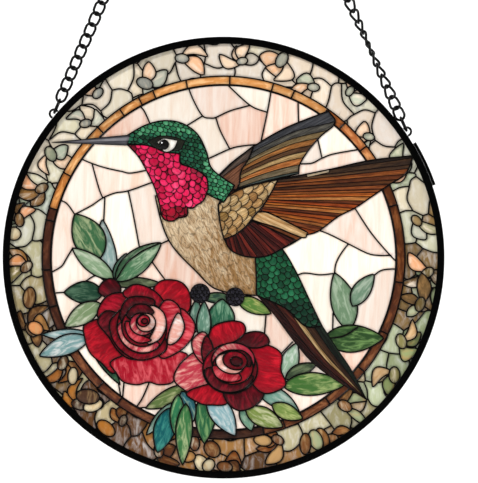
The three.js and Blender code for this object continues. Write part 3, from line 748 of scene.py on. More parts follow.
def far_wing():
    edge = outline([(-2.2, 37.4), (4.9, 44), (16.5, 52.2), (27.4, 58.4), (36.9, 62.4), (47.5, 66.4)],
                   [(50.6, 61), (44, 55), (38.6, 48.8), (34.6, 42.4), (34, 38)],
                   [(23.3, 35.6), (7, 31.6), (0, 33)])
    upper = smooth([(-2, 40), (12, 51), (27.4, 60), (37, 64), (54, 68)])
    lower = smooth([(4, 29), (16, 32), (36, 35.4)])
    stripes = (("#34353a", "#55565a"), ("#3f3d3a", "#6a665a"), ("#7a6542", "#b09468"),
               ("#96602f", "#c98446"), ("#4a3020", "#7c5636"), ("#a07c4c", "#d2b27c"),
               ("#a45c2a", "#d68f50"), ("#6a5a40", "#96866a"), ("#3f4a44", "#6c7670"))
    shares = (0, 0.2, 0.31, 0.4, 0.49, 0.57, 0.66, 0.76, 0.87, 1)
    patches = [patch("far_wing", edge, "#3d3d3b", "#5c5a50", grain=25, swell=0.1)]
    patches += strips("far_wing", upper, lower, shares, stripes, within=edge)
    wrist = outline([(-2, 37), (4, 43), (13.8, 50.8)], [(11.4, 44.8), (8, 39.4), (7.3, 33.8)],
                    [(4.9, 30.4)])
    inner = outline([(-0.6, 36.6), (5, 40.8), (11, 44.4)], [(8, 39.4), (7.3, 33.8)], [(4.9, 30.8)])
    patches.append(patch("wrist", wrist, "#3f342e", "#645248", grain=40))
    patches.append(patch("wrist", inner, "#5c3826", "#84563e", grain=40, within=wrist, lead="fine"))
    return patches


DEEP_GREEN_BELOW = -19


def tail_and_rump(chance):
    left = smooth([(15, -17), (23, -26), (32, -38), (43, -50), (65, -64.6)])
    right = smooth([(34, -12), (43, -28), (52, -42), (58, -51), (65, -64.6)])
    stripes = (("#140504", "#3a120e"), ("#2a0d08", "#5c2618"), ("#8f6e42", "#d4b482"),
               ("#26140b", "#543620"), ("#0a0d09", "#1a281c"))
    patches = strips("tail", left, right, (0, 0.22, 0.42, 0.56, 0.76, 1), stripes)
    region = outline([(20, 8), (26.4, 4), (32.8, -6.4), (39.6, -20.7), (44.6, -31)],
                     [(37, -31), (28, -23), (15, -17)], [(14, 4)])
    patches.append(patch("rump", region, "#0c2418", "#17402a"))
    bright = (("#0a3822", "#237046"), ("#0f462c", "#2f8256"), ("#092a1a", "#185236"))
    deep = (("#082217", "#143c28"), ("#0a2c1e", "#184830"))
    patches += scales("rump", region, 2.9, lambda at: deep if at[1] < DEEP_GREEN_BELOW else bright, chance,
                      stretch=1.15, drop=(0.35, -1))
    return patches


def near_wing():
    """The long feathers of the near wing, darkest along its front edge."""
    edge = outline([(2, 29.5), (12, 32.8), (23.3, 35.1), (47.8, 39.9), (66.2, 44), (86, 46.2)],
                   [(82.5, 38), (75, 33), (66.2, 27), (59.4, 22.4), (51.9, 18.6), (43, 12), (37, 10),
                    (31.5, 6.6), (26, 3.8)],
                   [(19.9, 0.8), (13.8, 0.1), (7.7, 1.1), (2.9, 3.8), (0.2, 8.6)], [(-2.4, 23)])
    patches = [patch("near_wing", edge, "#5c2f18", "#8a4a22", grain=10, swell=0.1)]
    roots = smooth([(22, 37), (21, 31.5), (19.4, 26.3), (17.4, 21.6), (14, 18)])
    tips = smooth([(89, 48.6), (85, 40), (77, 32), (68, 25), (60.4, 20.4), (52.9, 16.6), (43, 9)])
    dark = (("#241a16", "#4a3424"), ("#33231a", "#5e4028"), ("#3f2a1c", "#704c2c"))
    brown = (("#582a14", "#9e5422"), ("#783a18", "#ba6a2e"), ("#6a3216", "#a65a2a"), ("#3c1e0c", "#70401e"))
    orange = (("#9c4616", "#e08432"), ("#86340e", "#c65e22"), ("#481e0c", "#884420"),
              ("#a65a26", "#e29e58"))
    count = 20
    for i in range(count):
        a, b = (roots[round(k * (len(roots) - 1) / count)] for k in (i, i + 1))
        first, last = (round(k * (len(tips) - 1) / count) for k in (i, i + 1))
        trailing = tips[first:last + 1]
        points = np.vstack([resample([a, trailing[0]])[:-1], trailing, resample([trailing[-1], b])[1:]])
        tints = dark if i < 3 else brown if i < 8 else orange
        tint, streak = tints[(i * 7) % len(tints)]
        patches.append(patch("near_wing", points, tint, streak, base=(a + b) / 2,
                             tip=(trailing[0] + trailing[-1]) / 2, swell=FEATHER_SWELL,
                             lead="fine" if i % 2 else "none", within=edge))
    fleck = outline([(38, 36.4), (47.6, 38.6)], [(47.8, 41), (38.2, 39)])
    patches.append(patch("near_wing", fleck, "#c9b08c", "#f0e2c8", grain=12, lead="fine", within=edge))
    return patches


def wing_root(chance):
    """The short dark feathers under the near wing, the pale one over them, and the shoulder."""
    lower = outline([(12.4, 16.8), (22, 12.8), (32.8, 7.9)],
                    [(26, 3.8), (19.9, 0.8), (13.8, 0.1), (7.7, 1.1), (2.9, 3.8), (0.2, 8.6)], [(5, 12)])
    patches = [patch("secondaries", lower, "#3a0f0c", "#7a2a20", grain=-40, swell=0.1)]
    starts = smooth([(15.4, 17.6), (8, 13.4), (1, 9.8)])
    ends = smooth([(34.5, 8), (26, 2.6), (19.9, -0.6), (13.8, -1.2), (7.7, -0.4), (1.9, 2.6)])
    maroon = (("#2c0c0a", "#5c1c16"), ("#4a1410", "#8c3022"), ("#3c100e", "#6e241c"))
    count = 12
    for i in range(count):
        a, b = (starts[round(k * (len(starts) - 1) / count)] for k in (i, i + 1))
        c, d = (ends[round(k * (len(ends) - 1) / count)] for k in (i, i + 1))
        points = np.vstack([resample([a, c])[:-1], resample([c, d])[:-1], resample([d, b])])
        tint, streak = maroon[i % 3]
        patches.append(patch("secondaries", points, tint, streak, base=(a + b) / 2, tip=(c + d) / 2,
                             swell=FEATHER_SWELL, lead="fine", within=lower))
    pale = outline([(14.6, 20.6), (20, 20.4), (30, 15.6), (38, 11.4)], [(36, 9), (24, 13.6), (12.6, 17.4)])
    patches.append(patch("pale_feather", pale, "#a87c4a", "#e0be8c", grain=-25, swell=0.2))
    shoulder = outline([(-2.4, 24), (4.9, 29.7), (14, 33), (24.7, 35.4)],
                       [(21.3, 29), (17.9, 23.6), (13.8, 18.8), (10, 14)], [(5.6, 10.6), (0.2, 8.3)],
                       [(-1.6, 16)])
    patches.append(patch("coverts", shoulder, "#7a5a30", "#b08a52", grain=60, swell=0.2))
    buffs = (("#a87c48", "#dcb680"), ("#94683a", "#c89c64"), ("#b8925c", "#e8cc9c"), ("#7c5a2e", "#b08c50"),
             ("#c29c68", "#f0dab0"))
    patches += scales("coverts", shoulder, 3.7, lambda at: buffs, chance, size=1.1, stretch=1.35,
                      loose=0.22, drop=(0.78, 0.5), swell=0.3)
    return patches


def head_and_throat(chance):
    """The green crown and nape, and the red throat, all in scales."""
    crown = outline([(-43.3, 55.6), (-35.6, 59.9), (-27.3, 62), (-19, 60.9), (-12, 56.1), (-7.9, 48.4),
                     (-5.1, 40.1), (5, 32.6)], [(0, 25)], [(-12, 32), (-20, 44)], [(-43.6, 51)])
    patches = [patch("head", crown, "#0c2418", "#17402a")]
    bright = (("#1f6b42", "#4f9c70"), ("#2a7a4c", "#6ab488"), ("#17583a", "#3a8a5c"))
    deep = (("#0f3a26", "#1f5c3c"), ("#0c2e1e", "#1a4c32"), ("#17503a", "#2f7a58"))
    patches += scales("head", crown, 1.9, lambda at: bright if at[1] > 56 or at[0] > -9 else deep, chance,
                      stretch=1.4, loose=0.16, drop=(0.8, -0.6))
    throat = outline([(-43.6, 51.2), (-35.6, 51), (-30.8, 49.6), (-26.6, 47.8), (-19.7, 47.2)],
                     [(-19.4, 42.6), (-13.4, 40.4), (-7.9, 36.4), (-7, 31.1)],
                     [(-9, 26), (-12, 24)], [(-14, 22.4), (-16.4, 22.6)], [(-16.6, 19), (-20.4, 18)],
                     [(-23, 16.6), (-26.4, 17), (-28.4, 19.6)],
                     [(-29, 24), (-31, 31.1), (-33.8, 37.3), (-38, 45), (-41.9, 49.5)])
    patches.append(patch("gorget", throat, "#5c061a", "#8a0c2c"))
    reds = (("#d80a46", "#f8407a"), ("#ec1252", "#ff6494"), ("#c4083e", "#ec2e64"), ("#b00836", "#dc2254"))
    darks = (("#6e0418", "#a81030"), ("#84061e", "#c01838"))
    dusky = (("#5c2430", "#8c4450"), ("#84102c", "#b83850"))

    def throat_tints(at):
        if at[1] < 23:
            return darks
        return dusky if at[0] > -15 and at[1] > 37 else reds

    patches += scales("gorget", throat, 3.0, throat_tints, chance, stretch=1.12, loose=0.24, drop=(0.4, -1),
                      swell=0.4)
    return patches


def eye_and_beak():
    brow = outline([(-34.4, 52.6), (-30, 54.8), (-24, 55), (-17.4, 53)],
                   [(-19.4, 49), (-23, 48.4), (-30, 49.2)])
    white = outline([(-30, 52.4), (-27, 54), (-20.8, 53)], [(-22.6, 49.4), (-26.6, 47.9)])
    beak = outline([(-42.6, 55.6), (-78, 52.2)], [(-43.6, 50.9)], [])
    ridge = outline([(-42.6, 54.6), (-70, 52.5)], [(-43, 53)], [])
    return [
        patch("head", brow, "#12140f", "#24261c", lead="fine"),
        patch("eye", white, "#cfc8bc", "#fbf6ee", lead="fine", swell=0.3),
        patch("eye", circle(2.4, (-27, 51.2)), "#050505", "#120e0c", swell=0.8, lead="none",
              within=grown(white, 0.4)),
        patch("eye", circle(0.55, (-27.9, 52)), "#f4f4f4", "#ffffff", swell=0.9, lead="none"),
        patch("beak", beak, "#3a393e", "#5c5a60", grain=4, swell=0.2, lead="fine"),
        patch("beak", ridge, "#77757a", "#98969a", grain=4, swell=0.2, lead="none"),
    ]


def bird():
    chance = random.Random(5)
    body = outline([(-31, 28), (-28.4, 17), (-25.2, 8.6), (-20.6, 2), (-12.7, -6), (-5.8, -12.9),
                   (-0.2, -15.4)], [(7, -16.4), (14.8, -17.2)], [(14.8, -8), (14, 6)], [(0, 30)])
    breast = patch("breast", body, "#9a7244", "#e2caa6", base=(16, -14), tip=(-30, 26), grain=-64, swell=0.3)
    patches = [*far_wing(), *tail_and_rump(chance), breast, *near_wing(), *wing_root(chance),
               *head_and_throat(chance), *eye_and_beak()]
    greys = (("#1a1820", "#3f3c48"), ("#121016", "#2b2933"))
    for group, middle, radius in (("left_foot", (-10.6, -16.2), 4.4), ("right_foot", (5.2, -17.8), 4.2)):
        foot = circle(radius, middle)
        patches.append(patch(group, foot, "#0c0b10", "#1c1a22", swell=0.2, lead="fine"))
        patches += scales(group, foot, 1.9, lambda at: greys, chance, size=0.95, swell=0.6)
    return patches, []


def picture():
    patches, cuts = [], []
    for part in (border, band, field, leaves, bird, roses):
        more_patches, more_cuts = part()
        patches += more_patches
        cuts += more_cuts
    return patches, cuts


# Cutting the picture into pieces of glass

def fill_points(step, region):
    """Points on a triangular grid inside a region."""
    low, high = region.min(axis=0), region.max(axis=0)
    row_step = step * math.sqrt(3) / 2
    points = []
    for row in range(int((high[1] - low[1]) / row_step) + 1):
        for column in range(int((high[0] - low[0]) / step) + 2):
            points.append((low[0] + (column - 0.5 * (row % 2)) * step, low[1] + row * row_step))
    points = np.array(points)
    return points[inside(region, points)]


def tree_of(points):
    tree = KDTree(len(points))
    for i, (x, z) in enumerate(points):
        tree.insert((x, z, 0), i)
    tree.balance()
    return tree


# The kinds of lead, from none to the widest. Where several meet on one edge, the widest counts.
LEADS = ("none", "fine", "plain", "wide")
FINE_GROUPS = ("head", "gorget", "rump", "eye", "coverts", "left_foot", "right_foot")

# Points nearer to each other than this are one, in millimetres.
MERGE_DISTANCE = 0.02


def owned_edges(patches, cuts):
    """Every outline and cut as points, edges between them, and the owner of each edge."""
    points, edges, owners = [], [], []
    lines = [(one.outline, True, ("patch", i)) for i, one in enumerate(patches)]
    lines += [(one.points, False, ("cut", i)) for i, one in enumerate(cuts)]
    for line, closed, owner in lines:
        start = len(points)
        points += [tuple(point) for point in line]
        count = len(line)
        for i in range(count if closed else count - 1):
            edges.append((start + i, start + (i + 1) % count))
            owners.append(owner)
    return points, edges, owners


def topmost(patches, middles):
    """The number of the front patch at each point, or -1 outside the picture."""
    found = np.full(len(middles), -1)
    for i, one in enumerate(patches):
        low, high = one.outline.min(axis=0), one.outline.max(axis=0)
        near = np.where(((middles >= low) & (middles <= high)).all(axis=1))[0]
        near = near[inside(one.outline, middles[near])]
        if one.within is not None:
            near = near[inside(one.within, middles[near])]
        found[near] = i
    return found


class Joined:
    """Sets of triangles that are joined pair by pair."""

    def __init__(self, count):
        self.parent = list(range(count))

    def find(self, i):
        while self.parent[i] != i:
            self.parent[i] = self.parent[self.parent[i]]
            i = self.parent[i]
        return i

    def join(self, a, b):
        self.parent[self.find(a)] = self.find(b)


def lead_between(owners, patches, cuts, hosts, a, b):
    """The kind of lead on an edge between patches a and b, or None where the glass runs on."""
    found = None
    for kind, i in owners:
        if kind == "patch" and a != b and i in (a, b, hosts.get(a), hosts.get(b)):
            lead = LEADS.index(patches[i].lead)
        elif kind == "cut" and a == b and cuts[i].group == patches[a].group and patches[a].within is None:
            lead = LEADS.index(cuts[i].lead)
        else:
            continue
        found = lead if found is None else max(found, lead)
    return found


def add_fills(points, patches):
    """Adds a grid of points between the lines, finer under the scales."""
    tree = tree_of(points)
    fine = {one.group: one.outline for one in reversed(patches) if one.group in FINE_GROUPS}
    regions = [(circle(GLASS_RADIUS), FILL_STEP), *((region, FINE_FILL_STEP) for region in fine.values())]
    for region, step in regions:
        for point in fill_points(step, region):
            if tree.find((*point, 0))[2] > step / 2:
                points.append(tuple(point))


@functools.lru_cache(maxsize=1)
def cut_panel():
    """The picture as triangles, each with its patch and its piece of glass, and the lines of lead."""
    patches, cuts = picture()
    points, edges, owners = owned_edges(patches, cuts)
    add_fills(points, patches)
    places = {id(one.outline): i for i, one in enumerate(patches)}
    hosts = {i: places.get(id(one.within)) for i, one in enumerate(patches) if one.within is not None}
    vectors = [Vector(point) for point in points]
    verts, out_edges, faces, _, edge_ids, _ = delaunay_2d_cdt(vectors, edges, [], 0, MERGE_DISTANCE)
    verts = np.array([tuple(v) for v in verts])
    triangles = np.array(faces)
    patch_of = topmost(patches, verts[triangles].mean(axis=1))

    beside = defaultdict(list)
    for i, (a, b, c) in enumerate(faces):
        for pair in ((a, b), (b, c), (c, a)):
            beside[min(pair), max(pair)].append(i)
    joined = Joined(len(faces))
    lead_edges = []
    owners_of = {(min(e), max(e)): [owners[i] for i in ids] for e, ids in zip(out_edges, edge_ids) if ids}
    for pair, sides in beside.items():
        a, b = (patch_of[sides[0]], patch_of[sides[1]]) if len(sides) == 2 else (patch_of[sides[0]], -1)
        lead = lead_between(owners_of.get(pair, ()), patches, cuts, hosts, a, b)
        if lead is None:
            if len(sides) == 2 and a == b:
                joined.join(*sides)
        elif lead:
            lead_edges.append((*pair, lead))
    cell_of = np.array([joined.find(i) for i in range(len(faces))])
    lead_points = verts[sorted({i for a, b, _ in lead_edges for i in (a, b)})]
    lead_tree = tree_of(lead_points)
    closeness = np.array([lead_tree.find((*point, 0))[2] for point in verts])
    return Panel(patches, verts, triangles, patch_of, cell_of, lead_lines(verts, lead_edges), closeness)


def lead_lines(verts, lead_edges):
    """Joins the edges of each width into lines that end where three or more of them meet."""
    lines = []
    for width in (3, 2, 1):
        near = defaultdict(list)
        for a, b, lead in lead_edges:
            if lead == width:
                near[a].append(b)
                near[b].append(a)
        ends = [i for i in near if len(near[i]) != 2]
        used = set()
        for start in [*sorted(ends), *sorted(near)]:
            for following in near[start]:
                if (start, following) in used:
                    continue
                line = [start, following]
                used |= {(start, following), (following, start)}
                while len(near[line[-1]]) == 2 and line[-1] != start:
                    onward = [i for i in near[line[-1]] if i != line[-2]][0]
                    if (line[-1], onward) in used:
                        break
                    used |= {(line[-1], onward), (onward, line[-1])}
                    line.append(onward)
                lines.append((width, verts[line]))
    return lines


# Making objects

def link_object(name, mesh, material, nodes):
    piece = bpy.data.objects.new(name, mesh)
    bpy.context.scene.collection.objects.link(piece)
    mesh.materials.clear()
    mesh.materials.append(material)
    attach(piece, "root")
    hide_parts(*nodes)


def mesh_of(bm, name, sharp):
    """The mesh of a closed form, its normals turned outwards and its edges beyond an angle kept sharp."""
    bmesh.ops.recalc_face_normals(bm, faces=bm.faces)
    for edge in bm.edges:
        if len(edge.link_faces) == 2 and edge.calc_face_angle() > math.radians(sharp):
            edge.smooth = False
    mesh = bpy.data.meshes.new(name)
    bm.to_mesh(mesh)
    bm.free()
    return mesh


def tube_mesh(name, paths, radius, resolution, capped=True):
    """Round tubes along smooth paths, each a list of points and whether it closes on itself."""
    curve = bpy.data.curves.new(name, "CURVE")
    curve.dimensions = "3D"
    curve.bevel_depth = radius
    curve.bevel_resolution = resolution
    curve.use_fill_caps = capped
    for path, closed in paths:
        spline = curve.splines.new("POLY")
        spline.points.add(len(path) - 1)
        spline.use_cyclic_u = closed
        for point, place in zip(spline.points, path):
            point.co = (*place, 1)
    helper = bpy.data.objects.new(name, curve)
    mesh = bpy.data.meshes.new_from_object(helper)
    mesh.name = name
    bpy.data.objects.remove(helper)
    bpy.data.curves.remove(curve)
    for polygon in mesh.polygons:
        polygon.use_smooth = True
    return mesh


def place_in_panel(x, y, z):
    """A place in the frame from millimetres in the panel's own plane."""
    return PANEL + Vector((x, y, z)) * MM


def nodes_of(group):
    """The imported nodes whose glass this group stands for."""
    return sorted(name for name in frame["nodes"] if re.fullmatch(rf"{group}(_\d+)?", name))


# A piece smaller than this area is left to the lead, and a piece swells over this distance from its lead.
TINY_PIECE = 0.3
# Nearness to the lead, in shares of this distance, also sets the painted shade beside the lead.
SWELL_DISTANCE = 2.2
GRAIN_SCALE = 10
GRAIN_SPREAD = 300


def area_of(corners):
    """The area of triangles, from their corners."""
    a, b = corners[:, 1] - corners[:, 0], corners[:, 2] - corners[:, 0]
    return np.abs(a[:, 0] * b[:, 1] - a[:, 1] * b[:, 0]).sum() / 2


def glass_mesh(group, panel):
    """All pieces of glass of one group: each a closed plate with a slightly swollen front."""
    chance = random.Random(group)
    cells = defaultdict(list)
    for i, number in enumerate(panel.patch_of):
        if number >= 0 and panel.patches[number].group == group:
            cells[panel.cell_of[i]].append(i)
    bm = bmesh.new()
    grain_layer = bm.loops.layers.uv.new("grain")
    place_layer = bm.loops.layers.uv.new("place")
    tint_layer = bm.loops.layers.float_color.new("tint")
    streak_layer = bm.loops.layers.float_color.new("streak")
    painted_shade_and_tone_layer = bm.loops.layers.float_color.new("painted_shade_and_tone")
    for members in cells.values():
        one = panel.patches[panel.patch_of[members[0]]]
        corners = panel.points[panel.triangles[members]]
        if area_of(corners) < TINY_PIECE:
            continue
        grain = math.radians(one.grain)
        along = np.array([math.cos(grain), math.sin(grain)])
        across = np.array([-along[1], along[0]])
        offset = (chance.uniform(0, GRAIN_SPREAD), chance.uniform(0, GRAIN_SPREAD))
        shade = chance.random()
        tint, streak = one.tint, one.streak
        if one.palette:
            tint, streak = one.palette(corners.mean(axis=(0, 1)), chance)
        reach = one.tip - one.base
        verts = {}
        for i in members:
            for k in panel.triangles[i]:
                if k not in verts:
                    x, z = panel.points[k]
                    far = min(panel.closeness[k] / SWELL_DISTANCE, 1)
                    rise = one.swell * (1 - (1 - far) ** 2)
                    verts[k] = bm.verts.new(place_in_panel(x, -GLASS_HALF - rise, z))
            face = bm.faces.new([verts[k] for k in panel.triangles[i]])
            face.smooth = True
            for loop, k in zip(face.loops, panel.triangles[i]):
                point = panel.points[k]
                loop[grain_layer].uv = [point @ way * MM * GRAIN_SCALE + start
                                        for way, start in zip((along, across), offset)]
                share = (point - one.base) @ reach / (reach @ reach)
                loop[place_layer].uv = (share, (point - one.base) @ across)
                loop[tint_layer] = (*tint, 1)
                loop[streak_layer] = (*streak, 1)
                # Red: nearness to the lead, which sets the painted shade beside it. Green: the piece's own
                # random tone.
                loop[painted_shade_and_tone_layer] = (min(panel.closeness[k] / SWELL_DISTANCE, 1), shade, 0, 1)
    made = bmesh.ops.extrude_face_region(bm, geom=bm.faces[:], use_keep_orig=True)
    for vert in [item for item in made["geom"] if isinstance(item, bmesh.types.BMVert)]:
        vert.co.y = GLASS_HALF * MM
    return mesh_of(bm, group, 50)


def lead_mesh(name, lines, half_width, half_height):
    """Beads of lead along the lines, each an oval bar that stands proud on both faces of the glass."""
    paths = []
    for line in lines:
        closed = len(line) > 3 and np.allclose(line[0], line[-1])
        line = line[:-1] if closed else line
        paths.append(([(x / half_width, z / half_width, 0) for x, z in line], closed))
    mesh = tube_mesh(name, paths, 1, 2)
    scale = Matrix.Diagonal((half_width * MM, half_width * MM, half_height * MM, 1))
    stand = Matrix.Rotation(math.radians(90), 4, "X")
    mesh.transform(Matrix.Translation(PANEL) @ stand @ scale)
    return mesh


# Materials

def add_node(tree, kind, inputs=None, **settings):
    """Adds a node. An input is a value, or the output socket that it is linked to."""
    node = tree.nodes.new(kind)
    for name, value in settings.items():
        setattr(node, name, value)
    for name, value in (inputs or {}).items():
        if isinstance(value, bpy.types.NodeSocket):
            tree.links.new(value, node.inputs[name])
        else:
            node.inputs[name].default_value = value
    return node


def new_material(name):
    material = bpy.data.materials.new(name)
    material.use_nodes = True
    tree = material.node_tree
    tree.nodes.clear()
    return material, tree


def finish_material(tree, shader):
    add_node(tree, "ShaderNodeOutputMaterial", {"Surface": shader.outputs["BSDF"]})


def scaled(tree, value, low, high, to_low, to_high):
    """A value taken from one range to another, smoothly."""
    node = add_node(tree, "ShaderNodeMapRange", {
        "Value": value, "From Min": low, "From Max": high, "To Min": to_low, "To Max": to_high},
        interpolation_type="SMOOTHSTEP")
    return node.outputs["Result"]


def product(tree, first, second):
    return add_node(tree, "ShaderNodeMath", {0: first, 1: second}, operation="MULTIPLY").outputs["Value"]


# How soft the edge of a streak is, how light pieces may be, how far the painted shade beside the lead
# reaches into a piece, and how rough and how glossy the glass is.
STREAK_EDGE = 0.17
PIECE_TONES = (0.84, 1.08)
LEAD_SHADE = (0.2, 0.6)
GLASS_ROUGHNESS = 0.16
GLASS_GLOSS = 0.18


def glass(name, streak_long, streak_wide, contrast, lean=0.05, flow=0.0, depth=1.0, painted_shade_at_lead=0.66, ripple=0.25,
          barbs=0.0, cracks=0.0):
    """Opalescent sheet glass, rolled by hand: two tints that run into each other along the grain.

    The streaks catch the eye first. Each piece is a little lighter or darker than the next, and darkened by
    painted shade where it meets its lead. Ripples break up the reflections. Barbs are hair-fine dark lines
    along the grain, and cracks a net of them.
    """
    material, tree = new_material(name)
    tint = add_node(tree, "ShaderNodeAttribute", attribute_name="tint").outputs["Color"]
    streak = add_node(tree, "ShaderNodeAttribute", attribute_name="streak").outputs["Color"]
    painted_shade_and_tone = add_node(tree, "ShaderNodeAttribute", attribute_name="painted_shade_and_tone").outputs["Color"]
    split = add_node(tree, "ShaderNodeSeparateColor", {"Color": painted_shade_and_tone})
    grain = add_node(tree, "ShaderNodeAttribute", attribute_name="grain").outputs["Vector"]
    place = add_node(tree, "ShaderNodeAttribute", attribute_name="place").outputs["Vector"]
    along = add_node(tree, "ShaderNodeSeparateXYZ", {"Vector": place}).outputs["X"]
    stretched = add_node(tree, "ShaderNodeMapping", {
        "Vector": grain, "Scale": (streak_long, streak_wide, 1)})
    wisps = add_node(tree, "ShaderNodeTexNoise", {
        "Vector": stretched.outputs["Vector"], "Scale": 26.0, "Detail": 6.0, "Roughness": 0.62,
        "Distortion": 0.9})
    rise = add_node(tree, "ShaderNodeMath", {0: along, 1: flow, 2: wisps.outputs["Fac"]},
                    operation="MULTIPLY_ADD")
    middle = 0.5 + lean + flow / 2
    level = STREAK_EDGE / contrast
    share = scaled(tree, rise.outputs["Value"], middle - level, middle + level, 0.0, 1.0)
    mixed = add_node(tree, "ShaderNodeMix", {0: share, 6: tint, 7: streak}, data_type="RGBA")
    tone = scaled(tree, split.outputs["Green"], 0.0, 1.0, *(tone * depth for tone in PIECE_TONES))
    # Painted shade: each piece darkens towards its lead, to the given share of its colour right at the lead.
    value = product(tree, tone, scaled(tree, split.outputs["Red"], *LEAD_SHADE, painted_shade_at_lead, 1.0))
    if barbs:
        fine = add_node(tree, "ShaderNodeMapping", {"Vector": grain, "Scale": (0.5, 14.0, 1)})
        hairs = add_node(tree, "ShaderNodeTexNoise", {
            "Vector": fine.outputs["Vector"], "Scale": 30.0, "Detail": 4.0, "Roughness": 0.7})
        value = product(tree, value, scaled(tree, hairs.outputs["Fac"], 0.36, 0.6, 1 - barbs, 1.12))
    if cracks:
        wavy = add_node(tree, "ShaderNodeTexNoise", {"Vector": grain, "Scale": 40.0, "Detail": 2.0})
        bent = add_node(tree, "ShaderNodeVectorMath", {
            0: wavy.outputs["Color"], 1: (0.03, 0.03, 0), 2: grain}, operation="MULTIPLY_ADD")
        cells = add_node(tree, "ShaderNodeMapping", {
            "Vector": bent.outputs["Vector"], "Scale": (0.32, 1.5, 1)})
        net = add_node(tree, "ShaderNodeTexVoronoi", {"Vector": cells.outputs["Vector"], "Scale": 62.0},
                       feature="DISTANCE_TO_EDGE", voronoi_dimensions="2D")
        value = product(tree, value, scaled(tree, net.outputs["Distance"], 0.02, 0.14, 1 - cracks, 1.0))
    shaded = add_node(tree, "ShaderNodeVectorMath", {0: mixed.outputs[2], "Scale": value},
                      operation="SCALE")
    waves = add_node(tree, "ShaderNodeTexNoise", {
        "Vector": stretched.outputs["Vector"], "Scale": 55.0, "Detail": 3.0, "Roughness": 0.55})
    bump = add_node(tree, "ShaderNodeBump", {
        "Height": waves.outputs["Fac"], "Strength": ripple, "Distance": 0.0006})
    shader = add_node(tree, "ShaderNodeBsdfPrincipled", {
        "Base Color": shaded.outputs["Vector"], "Roughness": GLASS_ROUGHNESS,
        "Specular IOR Level": GLASS_GLOSS, "Normal": bump.outputs["Normal"]})
    finish_material(tree, shader)
    return material


def metal(name, colour, roughness, grain_mm, shine, strength=0.15):
    """Black-finished metal: a thin dark coat that dulls the metal, a little uneven to the touch."""
    material, tree = new_material(name)
    place = add_node(tree, "ShaderNodeTexCoord").outputs["Object"]
    speckle = add_node(tree, "ShaderNodeTexNoise", {
        "Vector": place, "Scale": 1 / (grain_mm * MM), "Detail": 3.0, "Roughness": 0.6})
    worn = add_node(tree, "ShaderNodeMapRange", {
        "Value": speckle.outputs["Fac"], "To Min": roughness - 0.08, "To Max": roughness + 0.12})
    tone = add_node(tree, "ShaderNodeMapRange", {
        "Value": speckle.outputs["Fac"], "To Min": 0.7, "To Max": 1.3})
    shaded = add_node(tree, "ShaderNodeVectorMath", {0: colour, "Scale": tone.outputs["Result"]},
                      operation="SCALE")
    bump = add_node(tree, "ShaderNodeBump", {
        "Height": speckle.outputs["Fac"], "Strength": strength, "Distance": 0.0001})
    shader = add_node(tree, "ShaderNodeBsdfPrincipled", {
        "Base Color": shaded.outputs["Vector"], "Roughness": worn.outputs["Result"],
        "Specular IOR Level": shine, "Normal": bump.outputs["Normal"]})
    finish_material(tree, shader)
    return material


# A kind may set how dark its painted shade is right beside the lead, as a share of its colour.
GLASS_KINDS = {
    # Cloudy stone colours that change within a pane.
    "glass_border": dict(
        name="mottled opal glass", streak_long=0.5, streak_wide=1.3, contrast=0.95, lean=0.1, depth=0.9),
    # Warm amber with clear-cut streaks along the ring.
    "glass_band": dict(name="streaky amber glass", streak_long=0.5, streak_wide=1.6, contrast=1.3),
    # Milky and calm, with long rosy wisps, so that the bird stands out.
    "glass_background": dict(
        name="cream opal glass", streak_long=0.12, streak_wide=1.0, contrast=0.7, painted_shade_at_lead=0.76),
    # Deep red with paler streaks that run out to the edge of each petal.
    "glass_rose": dict(
        name="streaky red glass", streak_long=0.45, streak_wide=1.6, contrast=1.15, lean=0.1, flow=0.2,
        depth=0.94),
    # Strong pale streaks along each leaf.
    "glass_leaf": dict(
        name="streaky green glass", streak_long=0.5, streak_wide=1.9, contrast=1.4, lean=0.05, flow=0.12,
        depth=0.7),
    # Bright pebbles, each of nearly one colour.
    "glass_gorget": dict(
        name="pebbled red glass", streak_long=0.8, streak_wide=0.8, contrast=0.6, lean=0.08, painted_shade_at_lead=0.92,
        ripple=0.12),
    # Glossy green scales, lighter at their tips.
    "glass_bird_green": dict(
        name="rippled green glass", streak_long=0.8, streak_wide=0.8, contrast=0.7, lean=0.04, flow=0.15,
        painted_shade_at_lead=0.92),
    # Downy tan with a net of fine dark lines.
    "glass_breast": dict(
        name="crackled tan glass", streak_long=0.6, streak_wide=2.0, contrast=0.8, lean=0.02, flow=0.3,
        cracks=0.5),
    # Long hair-fine lines, like the barbs of a feather.
    "glass_feather": dict(
        name="combed brown glass", streak_long=0.14, streak_wide=4.0, contrast=1.1, painted_shade_at_lead=0.8, barbs=0.6),
    # Plain and even, the calmest glass of the bird.
    "glass_beak": dict(
        name="smooth grey glass", streak_long=0.3, streak_wide=3.0, contrast=0.8, ripple=0.05),
}


def make_glass(context):
    panel = cut_panel()
    slots = {row["node"]: row["material_slot"] for row in frame["record"]["subparts"]}
    materials = {slot: glass(**kind) for slot, kind in GLASS_KINDS.items()}
    groups = sorted({one.group for one in panel.patches})
    for group in groups:
        nodes = nodes_of(group)
        slot = slots[nodes[0]]
        link_object(f"{group}_pieces", glass_mesh(group, panel), materials[slot], nodes)


def make_lead(context):
    sizes = context.scene.suncatcher_sizes
    colours = context.scene.suncatcher_colours
    patina = metal("patinated lead", tuple(colours.lead), roughness=0.16, grain_mm=0.8, shine=0.1)
    panel = cut_panel()
    for name, kind, width, height in (
            ("band_came", "wide", sizes.band_lead_width, CAME_HALF),
            ("lead_came", "plain", sizes.lead_width, CAME_HALF - 0.1),
            ("fine_lead", "fine", sizes.fine_lead_width, CAME_HALF - 0.3)):
        lines = [line for lead, line in panel.leads if LEADS[lead] == kind]
        mesh = lead_mesh(name, lines, width / MM / 2, height)
        link_object(name, mesh, patina, ["came_net"])


